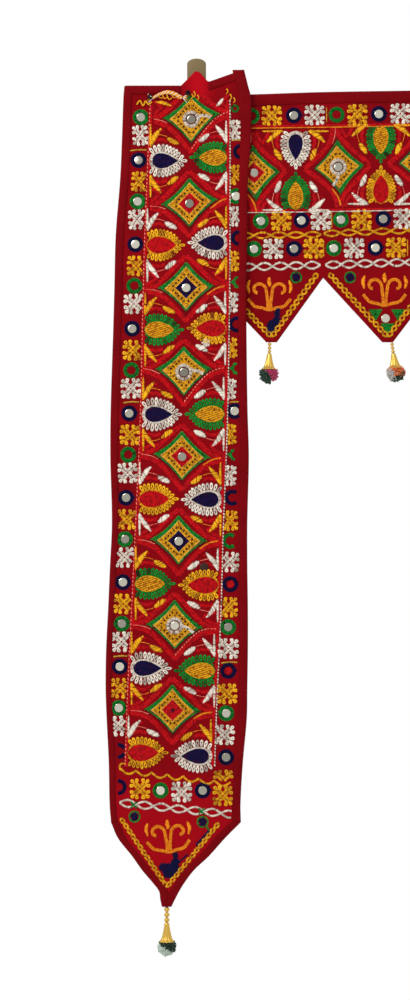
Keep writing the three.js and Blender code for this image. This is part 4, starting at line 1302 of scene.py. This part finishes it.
trefoil(valance, (86, -266), (
    (-2.5, -8.0, 5.4), (0.5, -3.0, 6.4), (4.0, 2.0, 5.0), (5.5, 9.0, 3.4), (6.0, 13.5, 2.8),
))
for x, z in ((202.5, -257), (228, -257), (216, -273)):
    valance.fill("green", [(x - 6.8, z + 6), (x + 6.8, z + 6), (x, z - 6.5)], 0.0)
mirrors["valance"].append((214.1, -261))
print("mirrors:", {cloth: len(centres) for cloth, centres in mirrors.items()})

# %% [markdown]
# Stitches that would lie beyond the cloth or under a binding are dropped, as the maker's
# needle would have stopped there. All stitches of one colour on one cloth are one piece.

# %% Join the stitches by colour
HEM = 3.4
COVERED_X = 44
MARGIN = 1


def on_panel(x, z):
    """True on the part of the panel that its bindings leave open."""
    left = panel_edge("left", z) + panel_edge("left_band", z)
    right = panel_edge("right", z) - panel_edge("right_band", z)
    return (x > left + 0.6) & (x < right - 0.6) & (z < -TOP_WIDTH) & (z > TIP_Z + 16)


def on_valance(x, z):
    """True right of COVERED_X, where it shows, inside its heading, hem and end binding."""
    across = (x > COVERED_X) & (x < FLAGS["right"][1] - END_WIDTH - MARGIN)
    return across & (z > flag_edge_z(x) + HEM) & (z < valance_top_z(x) - HEADING_WIDTH - MARGIN)


worked = {"panel": [], "valance": []}
for needle, keep in ((panel, on_panel), (valance, on_valance)):
    for colour, kinds in needle.kept.items():
        parts = []
        for kind, blocks in kinds.items():
            rows = np.concatenate(blocks)
            rows = rows[keep(rows[:, 0], rows[:, 1])]
            parts.append(copies(needle.cloth, kind, rows))
        starts = np.cumsum([0] + [len(p[0]) for p in parts])
        faces = [f + start for (_, group, _, _), start in zip(parts, starts) for f in group]
        points, uv, shade = (np.concatenate([p[i] for p in parts]) for i in (0, 2, 3))
        piece = make_mesh(f"stitches_{needle.cloth}_{colour}", points, faces, uv, shade)
        piece.data.materials.append(THREADS[colour])
        worked[needle.cloth].append(piece)
        print(piece.name, triangles(faces), "triangles")

# %% [markdown]
# Shisha mirrors are small discs of blown glass, never quite flat, each held by the stitches
# that lap its rim. A slight tilt, and an own shade for each as a painted reflection from bright
# to dark, make them catch the light in turn.

# %% Mirrors
VALANCE_MIRRORS = [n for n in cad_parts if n.startswith("mirror_valance")]
PANEL_MIRRORS = [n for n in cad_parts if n.startswith("mirror_") and n not in VALANCE_MIRRORS]
MIRROR_NODES = {"panel": PANEL_MIRRORS, "valance": VALANCE_MIRRORS}
# Rows from the back's middle over the rim to the front's middle.
MIRROR_PROFILE = table("radius height", [
    (0.0, -0.1), (4.9, -0.1), (5.0, 0.35), (4.6, 0.62), (3.4, 0.72), (1.7, 0.78), (0.0, 0.8),
])


def mirror_discs(name, cloth, centres):
    """Discs with a rounded rim: rings of points, closed by fans to the back's and front's middle."""
    around = 24
    radius, height = MIRROR_PROFILE["radius"], MIRROR_PROFILE["height"]
    rings = len(radius) - 2
    back, front = rings * around, rings * around + 1
    ring = radius[1:-1, None, None] * circle(around)
    shape = np.concatenate([ring.reshape(-1, 2), [(0, 0), (0, 0)]])
    up = np.concatenate([np.repeat(height[1:-1], around), height[[0, -1]]])
    sides = grid_faces(rings, around, wrap=True)
    last_ring = (rings - 1) * around
    thirds = np.concatenate([fan(around, back, flip=True), fan(around, front, last_ring)])
    centres = np.array(centres)
    lean = rng.normal(0, 0.045, (len(centres), 2))
    place = centres[:, None] + shape
    lift = up + 0.3 + (shape * lean[:, None]).sum(axis=-1)
    points = on_front(cloth, place[..., 0], place[..., 1], lift)
    step = np.arange(len(centres))[:, None, None] * len(shape)
    faces = [(sides[None] + step).reshape(-1, 4), (thirds[None] + step).reshape(-1, 3)]
    # Random shade for each disc: painted reflection, its metal from bright to dark.
    shade = np.repeat(rng.uniform(0.1, 1.0, len(centres)), len(shape))
    return make_mesh(name, points, faces, shade=shade)


# Metal colour from bright to dark by each disc's shade, a painted reflection.
MIRROR = new_material("mirror_glass", linear(205, 200, 188), 0.16, metallic=1.0)
shaded_colour(*MIRROR[1:], linear(206, 202, 186), linear(84, 80, 72))
for cloth, centres in mirrors.items():
    discs = mirror_discs(f"mirrors_{cloth}", cloth, centres)
    discs.data.materials.append(MIRROR[0])
    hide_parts(*MIRROR_NODES[cloth])
    worked[cloth].append(discs)
sequin = mirror_discs("sequin", "panel", [(8.5, -542.4)])
sequin.data.materials.append(new_material("sequin_dark", linear(46, 18, 12), 0.5, gloss=0.2)[0])
worked["panel"].append(sequin)
print("mirrors placed:", sum(len(centres) for centres in mirrors.values()))

# %% [markdown]
# Cords, beads and pompoms are tubes along paths. A frame that turns as little as possible
# carries the tube's section along its path, and every strand of the twisted trim is such a
# tube whose path winds round the trim's own.

# %% Thread trim at the top
YARN_SLANT = 0.4


def tube_along(path, radius, around=8):
    """Rings of points round a path in space; radius may change along it."""
    ahead = np.gradient(path, axis=0)
    ahead /= np.linalg.norm(ahead, axis=1, keepdims=True)
    aside = np.cross(ahead, [0.13, 1.0, 0.07])
    aside /= np.linalg.norm(aside, axis=1, keepdims=True)
    above = np.cross(ahead, aside)
    turn = np.linspace(0, 2 * np.pi, around + 1)[:-1]
    radius = np.broadcast_to(radius, len(path))[:, None, None]
    ring = aside[:, None] * np.cos(turn)[:, None] + above[:, None] * np.sin(turn)[:, None]
    return path[:, None] + ring * radius


def join_tubes(name, all_rings, material):
    """One mesh from several closed tubes, with fibres along each."""
    points, sides, ends, uv, start = [], [], [], [], 0
    for rings in all_rings:
        count, around = rings.shape[:2]
        sides.append(grid_faces(count, around, start, wrap=True))
        cap = np.arange(around)[None]
        ends += [cap[:, ::-1] + start, cap + start + (count - 1) * around]
        girth = np.linalg.norm(rings[:, 0] - rings[:, 1], axis=1).mean()
        along, across = np.meshgrid(run_along(rings[:, 0]), np.arange(around) * girth, indexing="ij")
        uv.append(np.stack([across + along * YARN_SLANT, along], axis=-1).reshape(-1, 2))
        points.append(rings.reshape(-1, 3))
        start += count * around
    by_size = {}
    for face in sides + ends[::2] + ends[1::2]:
        by_size.setdefault(face.shape[1], []).append(face)
    faces = [np.concatenate(same) for same in by_size.values()]
    points = np.concatenate(points)
    made = make_mesh(name, points, faces, np.concatenate(uv), rng.uniform(0.5, 0.8, len(points)))
    made.data.materials.append(material)
    return made


def laid_thread(points, count, lift, radius, around=6):
    """Tube of thread on the panel's face, along a smooth path through a few places."""
    path = curve(points, count)
    return tube_along(on_front("panel", path[:, 0], path[:, 1], lift), radius, around)


def twist():
    """Six strands, each with its colour, wound round a low arc and loosest in its middle."""
    t = np.linspace(0, 1, 160)
    arc_x = -49 + 32.5 * t
    arc_z = -12.4 + 6.2 * np.sin(np.pi * t)
    middle = on_front("panel", arc_x, arc_z, 3.55)
    for k in range(6):
        turn = t * 2 * np.pi * 4.2 + k * np.pi / 3
        loose = 1.0 + 0.35 * np.sin(np.pi * t) * (1 + 0.5 * np.sin(turn * 0.6 + 2 * k))
        swing = np.stack([0.5 * np.cos(turn), np.sin(turn) * 0.95, np.cos(turn) * loose], axis=-1)
        yield ("white", "yellow", "ochre")[k % 3], tube_along(middle + swing, 0.78)


def loose_bits():
    """Five short ends, each with its colour, that hang out of the twist."""
    for k in range(5):
        x = -44 + 5.2 * k
        bit = [(x, -8.5 + k % 2), (x + 2.4, -11.8 - k % 3), (x + 6.0, -12.4 + k % 2)]
        yield "ochre" if k % 2 else "yellow", laid_thread(bit, 16, 2.3, np.linspace(0.8, 0.45, 16))


def frayed_ends():
    """Five threads, each with its colour, spread out at either end of the twist."""
    thick = np.linspace(0.7, 0.35, 14)
    lift = 2.3 + np.linspace(0.6, 0, 14)
    for end, lean in ((-49.5, -1), (-15.5, 1)):
        for k in range(5):
            spread = [(end, -12.3), (end + lean * (2.5 + k * 0.5), -12 + (k - 2) * 1.6),
                      (end + lean * (5.0 + k % 2), -12.5 + (k - 2) * 2.6)]
            yield "yellow" if k % 2 else "white", laid_thread(spread, 14, lift, thick)


def knot(x, z):
    """Four rings of thread tangled round one place."""
    for k in range(4):
        turn = np.linspace(0, 2 * np.pi, 26)[:-1] + k
        lie = np.stack([2.6 * np.cos(turn), 1.5 * np.sin(turn + k * 0.7), 1.9 * np.sin(turn)], axis=-1)
        centre = on_front("panel", np.array([x]), np.array([z + (k - 1.5) * 0.5]), 3.4)
        yield tube_along(centre + lie * (1 - 0.12 * k), 0.75, 6)


strands = {"yellow": [], "white": [], "ochre": []}
for colour, rings in (*twist(), *loose_bits(), *frayed_ends()):
    strands[colour].append(rings)
squiggle = [(-67.5, -20), (-64, -15.5), (-60.5, -21), (-57.5, -16), (-54.5, -19.5), (-50.5, -17)]
strands["yellow"].append(laid_thread(squiggle, 60, 2.2, 0.8, around=8))
for x, z, length in ((-3, -5, 7), (1, -9, 6), (-5.5, -8, 5), (34, -2, 6), (38, -8, 7), (42, -12, 6)):
    bit = [(x, z), (x + 1.6, z - length / 2), (x - 0.4, z - length)]
    strands["yellow"].append(laid_thread(bit, 12, 2.2, np.linspace(0.8, 0.4, 12)))
trims = [join_tubes(f"trim_{colour}", rings, THREADS[colour]) for colour, rings in strands.items()]
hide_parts("twisted_trim")
knots = [*knot(-52.5, -11), *knot(-9.6, -6.5)]
trims.append(join_tubes("trim_knots", knots, THREADS["black"]))
print("trims:", [piece.name for piece in trims])

# %% [markdown]
# Each tassel hangs on one line: three ribbed beads, a fluted bell and a pompom in its mouth.
# Beads and bell are profiles turned round that line. The pompom is some eight hundred bent
# yarn ends that stand out of a small ball.

# %% Beads, bells and pompoms
# Rows: cloth, x and z of the thread, bead radius, bell length, mouth radius, pompom radius, tilt.
TASSELS = {
    "side": ("panel", -33.5, -926, 2.9, 21.5, 7.9, 10.2, 0.0),
    "flag_1": ("valance", 82.9, -288, 2.0, 18.0, 7.6, 10.2, -0.03),
    "flag_2": ("valance", 221.3, -288, 2.0, 16.5, 7.6, 10.2, 0.13),
}
# Rows: lighter and darker colour of the yarn, and its sheen.
YARN_COLOURS = {
    "forest": ((10, 60, 34), (3, 18, 12), 0.3),
    "mint": ((226, 238, 226), (150, 180, 160), 0.3),
    "magenta": ((214, 14, 100), (140, 4, 60), 0.5),
    "amber": ((250, 120, 16), (200, 76, 8), 0.5),
    "ash": ((212, 206, 200), (150, 142, 136), 0.5),
}
YARNS = {
    name: thread_material(f"yarn_{name}", linear(*light), linear(*dark), sheen, 0.9)
    for name, (light, dark, sheen) in YARN_COLOURS.items()
}
# Yarns of each pompom with the side that they crowd toward, as X and Z of that side.
POMPOM_YARNS = {
    "side": {"forest": (0.6, 0.9), "mint": (-0.5, -0.9)},
    "flag_1": {"forest": (-0.9, -0.6), "magenta": (0.8, 0.7)},
    "flag_2": {"amber": (0.5, 0.9), "ash": (-0.9, -0.1), "forest": (0.5, -0.9)},
}
BRASS = new_material("brass_gilt", linear(204, 166, 78), 0.36, metallic=1.0)[0]
# Rows of a bell from its crown over the rim and up inside: share of its length, and radius
# as drawn for a mouth of BELL_MOUTH.
BELL = [
    (0.0, 0.9), (0.01, 2.0), (0.04, 2.7), (0.1, 2.9), (0.25, 3.2), (0.45, 3.8), (0.65, 4.6), (0.82, 5.5),
    (0.91, 6.6), (0.97, 8.2), (1.0, 8.7), (1.01, 8.2), (0.96, 6.8), (0.88, 5.2), (0.82, 4.6), (0.8, 0.5),
]
BELL_MOUTH = 7.9
THREAD_GAP = 0.3
BEAD_GAP = 0.1
CORE_SHARE = 0.72


def turned_shape(start, end, profile, flutes=0, depth_share=0.0, around=36):
    """Rings round an axis from a profile of share along the axis and radius, fluted or plain."""
    turn = np.linspace(0, 2 * np.pi, around + 1)[:-1]
    ahead = (end - start) / np.linalg.norm(end - start)
    aside = np.cross(ahead, [0, 1, 0])
    aside /= np.linalg.norm(aside)
    above = np.cross(ahead, aside)
    share, radius = np.array(profile, float).T
    wave = 1 + depth_share * np.cos(flutes * turn) * np.clip(share[:, None] * 2, 0, 1)
    spread = aside * np.cos(turn)[:, None] + above * np.sin(turn)[:, None]
    middle = start + (end - start) * share[:, None]
    return middle[:, None] + spread * (radius[:, None] * wave)[..., None]


def ball_profile(radius):
    """Profile of a ball, cut off just short of both poles."""
    t = np.linspace(0.06, np.pi - 0.06, 13)
    return np.stack([(1 - np.cos(t)) / 2, radius * np.sin(t)], axis=-1)


def pompom_tufts(centre, radius, crowd, count):
    """Short bent yarn ends that stand out of a ball, thicker on the side they crowd toward."""
    turn = rng.uniform(0, 2 * np.pi, count * 3)
    rise = rng.uniform(-1, 0.55, count * 3)
    flat = np.sqrt(1 - rise**2)
    out = np.stack([flat * np.cos(turn), flat * np.sin(turn), rise], axis=-1)
    lean = out @ np.array([crowd[0], 0, crowd[1]]) + rng.normal(0, 0.2, len(out))
    out = out[np.argsort(-lean)[:count]]
    bend = rng.normal(0, 0.1, out.shape)
    reach = radius * rng.uniform(0.9, 0.99, count)[:, None]
    steps = np.array([0.5, 0.84, 1.0])[:, None, None]
    path = centre + out * reach * steps + bend * reach * steps**2 * 0.8
    path = path.transpose(1, 0, 2)
    aside = np.cross(out, [0.3, 0.5, 0.8])
    aside /= np.linalg.norm(aside, axis=1, keepdims=True)
    above = np.cross(out, aside)
    around = np.array([0, 2, 4]) * np.pi / 3
    spread = aside[:, None] * np.cos(around)[:, None] + above[:, None] * np.sin(around)[:, None]
    thick = np.array([1.1, 1.4, 0.7])[:, None, None]
    return path[:, :, None] + spread[:, None] * thick


def brass_piece(name, rings, node):
    """Turned brass piece that replaces one node."""
    made = tube(name, rings)
    made.data.materials.append(BRASS)
    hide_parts(node)


def pompom(name, centre, radius, swing):
    """One piece a colour of yarn; the first one also holds the ball and replaces the node."""
    half = swing * radius * CORE_SHARE
    core = turned_shape(centre - half, centre + half, ball_profile(radius * CORE_SHARE), around=24)
    yarns = POMPOM_YARNS[name]
    for i, (yarn, crowd) in enumerate(yarns.items()):
        tufts = pompom_tufts(centre, radius, crowd, 700 // len(yarns) + 60)
        rings = ([core] if i == 0 else []) + list(tufts)
        piece = join_tubes(f"pompom_{name}_{yarn}", rings, YARNS[yarn])
        if i == 0:
            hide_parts(f"pompom_{name}")


def tassel(name, cloth, x, z, bead, length, mouth, ball, tilt):
    """Three beads, a bell and a pompom on one line that leans by tilt."""
    swing = np.array([math.sin(tilt), 0, -math.cos(tilt)])
    top = np.array([x, float(depth(cloth, np.array(x), np.array(z))), z])
    step = 2 * bead + BEAD_GAP
    for k in range(3):
        centre = top + swing * (THREAD_GAP + bead + k * step)
        half = swing * bead
        rings = turned_shape(centre - half, centre + half, ball_profile(bead), 10, 0.07, 30)
        brass_piece(f"bead_{name}_{k + 1}_ribbed", rings, f"bead_{name}_{k + 1}")
    start = top + swing * (THREAD_GAP + 3 * step)
    profile = np.array(BELL) * [1, mouth / BELL_MOUTH]
    rings = turned_shape(start, start + swing * length, profile, 12, 0.075, 60)
    brass_piece(f"bell_{name}_fluted", rings, f"bell_{name}")
    pompom(name, start + swing * (length + 0.63 * ball - 1.0), ball, swing)


for name, sizes in TASSELS.items():
    tassel(name, *sizes)
print("tassels:", list(TASSELS))

# %% [markdown]
# The hook is a plain plate with a rounded top, and a rod that comes out of it low down and
# turns up to carry both cloths. The two tapes that hang on it keep their solid shapes.

# %% Hook
PLATE_WIDE = 10.75
PLATE_TALL = 35.0
ROD_POINTS = 40


def painted_metal(name, colour):
    """Satin paint with a fine grain."""
    made, nodes, links, shader = new_material(name, colour, 0.5, gloss=0.25)
    grain = nodes.new("ShaderNodeTexNoise")
    grain.inputs["Scale"].default_value = 900.0
    place = nodes.new("ShaderNodeTexCoord")
    links.new(place.outputs["Object"], grain.inputs["Vector"])
    add_bump(nodes, links, shader, grain.outputs["Fac"], 0.00008, 0.5)
    return made


def plate_rings():
    """Rings of the hook plate: an outline with a domed top, drawn in over a rounded edge."""
    turn = np.linspace(np.pi, 0, 25)
    dome = np.stack([PLATE_WIDE * np.cos(turn), PLATE_TALL - 6.5 + 6.5 * np.sin(turn)], axis=-1)
    right = np.array([(PLATE_WIDE, 10), (PLATE_WIDE, -15), (PLATE_WIDE, 2 - PLATE_TALL),
                      (PLATE_WIDE - 2, -PLATE_TALL)])
    outline = np.concatenate([dome, right, right[::-1] * [-1, 1]])
    rings = []
    for inset, y in ((0.4, 0.0), (0.0, -0.5), (0.0, -2.1), (0.35, -2.7), (1.1, -3.0)):
        ring = outline * [1 - inset / PLATE_WIDE, 1 - inset / PLATE_TALL]
        rings.append(np.c_[ring[:, :1], np.full((len(ring), 1), y), ring[:, 1:]])
    return rings


HOOK_PAINT = painted_metal("hook_paint", linear(108, 92, 58))
plate = tube("hook_plate", plate_rings())
plate.data.materials.append(HOOK_PAINT)
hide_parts("wall_hook")
# Rows: Y and Z of the rod's middle, from inside the plate to its tip.
bend = [(-1.5, -20.5), (-5.5, -20.3), (-7.7, -18.4), (-8.0, -14), (-8.0, -4), (-8.0, 5.0)]
path = np.c_[np.zeros(ROD_POINTS), curve(bend, ROD_POINTS)]
thick = np.r_[np.full(ROD_POINTS - 3, 2.5), 2.3, 1.7, 0.8]
rod = tube("hook_rod", tube_along(path, thick, 20))
rod.data.materials.append(HOOK_PAINT)
TAPE = cloth_material("cloth_tape", linear(120, 6, 14), linear(96, 4, 10))
for name in ("valance_loop", "hanging_loop"):
    node = bpy.data.objects[name]
    node.data.materials.clear()
    node.data.materials.append(TAPE)
print("hook plate:", len(plate.data.vertices), "points")

# %% [markdown]
# Both lengths follow the cloth, waves and all, so they are a little more than the
# straight measures.

for piece, cloth, flat, rests_on in (
    (panel_cloth, "panel", (0.164, 0.948), ["hanging_loop"]),
    (valance_cloth, "valance", (0.270, 0.287), ["valance_loop"]),
):
    mesh = piece.data
    areas = np.empty(len(mesh.polygons))
    mesh.polygons.foreach_get("area", areas)
    area = round(float(areas.sum()) / 2, 4)
    print(cloth, "area of one face:", area)
    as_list(rests_on)

# %% [markdown]
# A wide white floor far below, an even white world and one soft key light from the upper
# left give the flat daylight of the photo. The camera stands straight in front.

# %% Floor, light and camera
def add_floor():
    """Plain floor, not attached to the part's root."""
    points = [(-900, -700, -1150), (1100, -700, -1150), (1100, 600, -1150), (-900, 600, -1150)]
    floor = bpy.data.objects.new("floor", bpy.data.meshes.new("floor"))
    floor.data.from_pydata([tuple(c * MM for c in p) for p in points], [], [(0, 1, 2, 3)])
    bpy.context.scene.collection.objects.link(floor)
    floor.data.materials.append(new_material("floor_paint", linear(236, 235, 232), 0.9)[0])


def add_world():
    """Even white light from all round."""
    world = bpy.data.worlds.new("studio")
    world.use_nodes = True
    sky = world.node_tree.nodes["Background"]
    sky.inputs["Color"].default_value = (1.0, 1.0, 1.0, 1.0)
    sky.inputs["Strength"].default_value = 1.0
    bpy.context.scene.world = world


def area_light(name, place, aim, size, power):
    """Square soft light at a place, aimed at another, both in metres."""
    light = bpy.data.lights.new(name, "AREA")
    light.size = size
    light.energy = power
    made = bpy.data.objects.new(name, light)
    made.location = place
    ahead = np.array(aim) - np.array(place)
    tip = math.acos(-ahead[2] / np.linalg.norm(ahead))
    made.rotation_euler = (tip, 0, math.atan2(ahead[1], ahead[0]) - np.pi / 2)
    bpy.context.scene.collection.objects.link(made)


def add_camera(place, lens_mm):
    """Camera that looks level along +Y."""
    camera = bpy.data.objects.new("camera", bpy.data.cameras.new("camera"))
    camera.location = place
    camera.rotation_euler = (math.pi / 2, 0, 0)
    camera.data.sensor_width = 36
    camera.data.lens = lens_mm
    bpy.context.scene.collection.objects.link(camera)
    bpy.context.scene.camera = camera


add_floor()
add_world()
area_light("key", (-1.1, -1.5, 0.7), (0.0, 0.0, -0.45), 0.7, 26)
add_camera((0.0096, -3.02, -0.4667), 95.6)
bpy.context.scene.view_settings.view_transform = "Standard"
print("stage: floor, world, key light and camera")
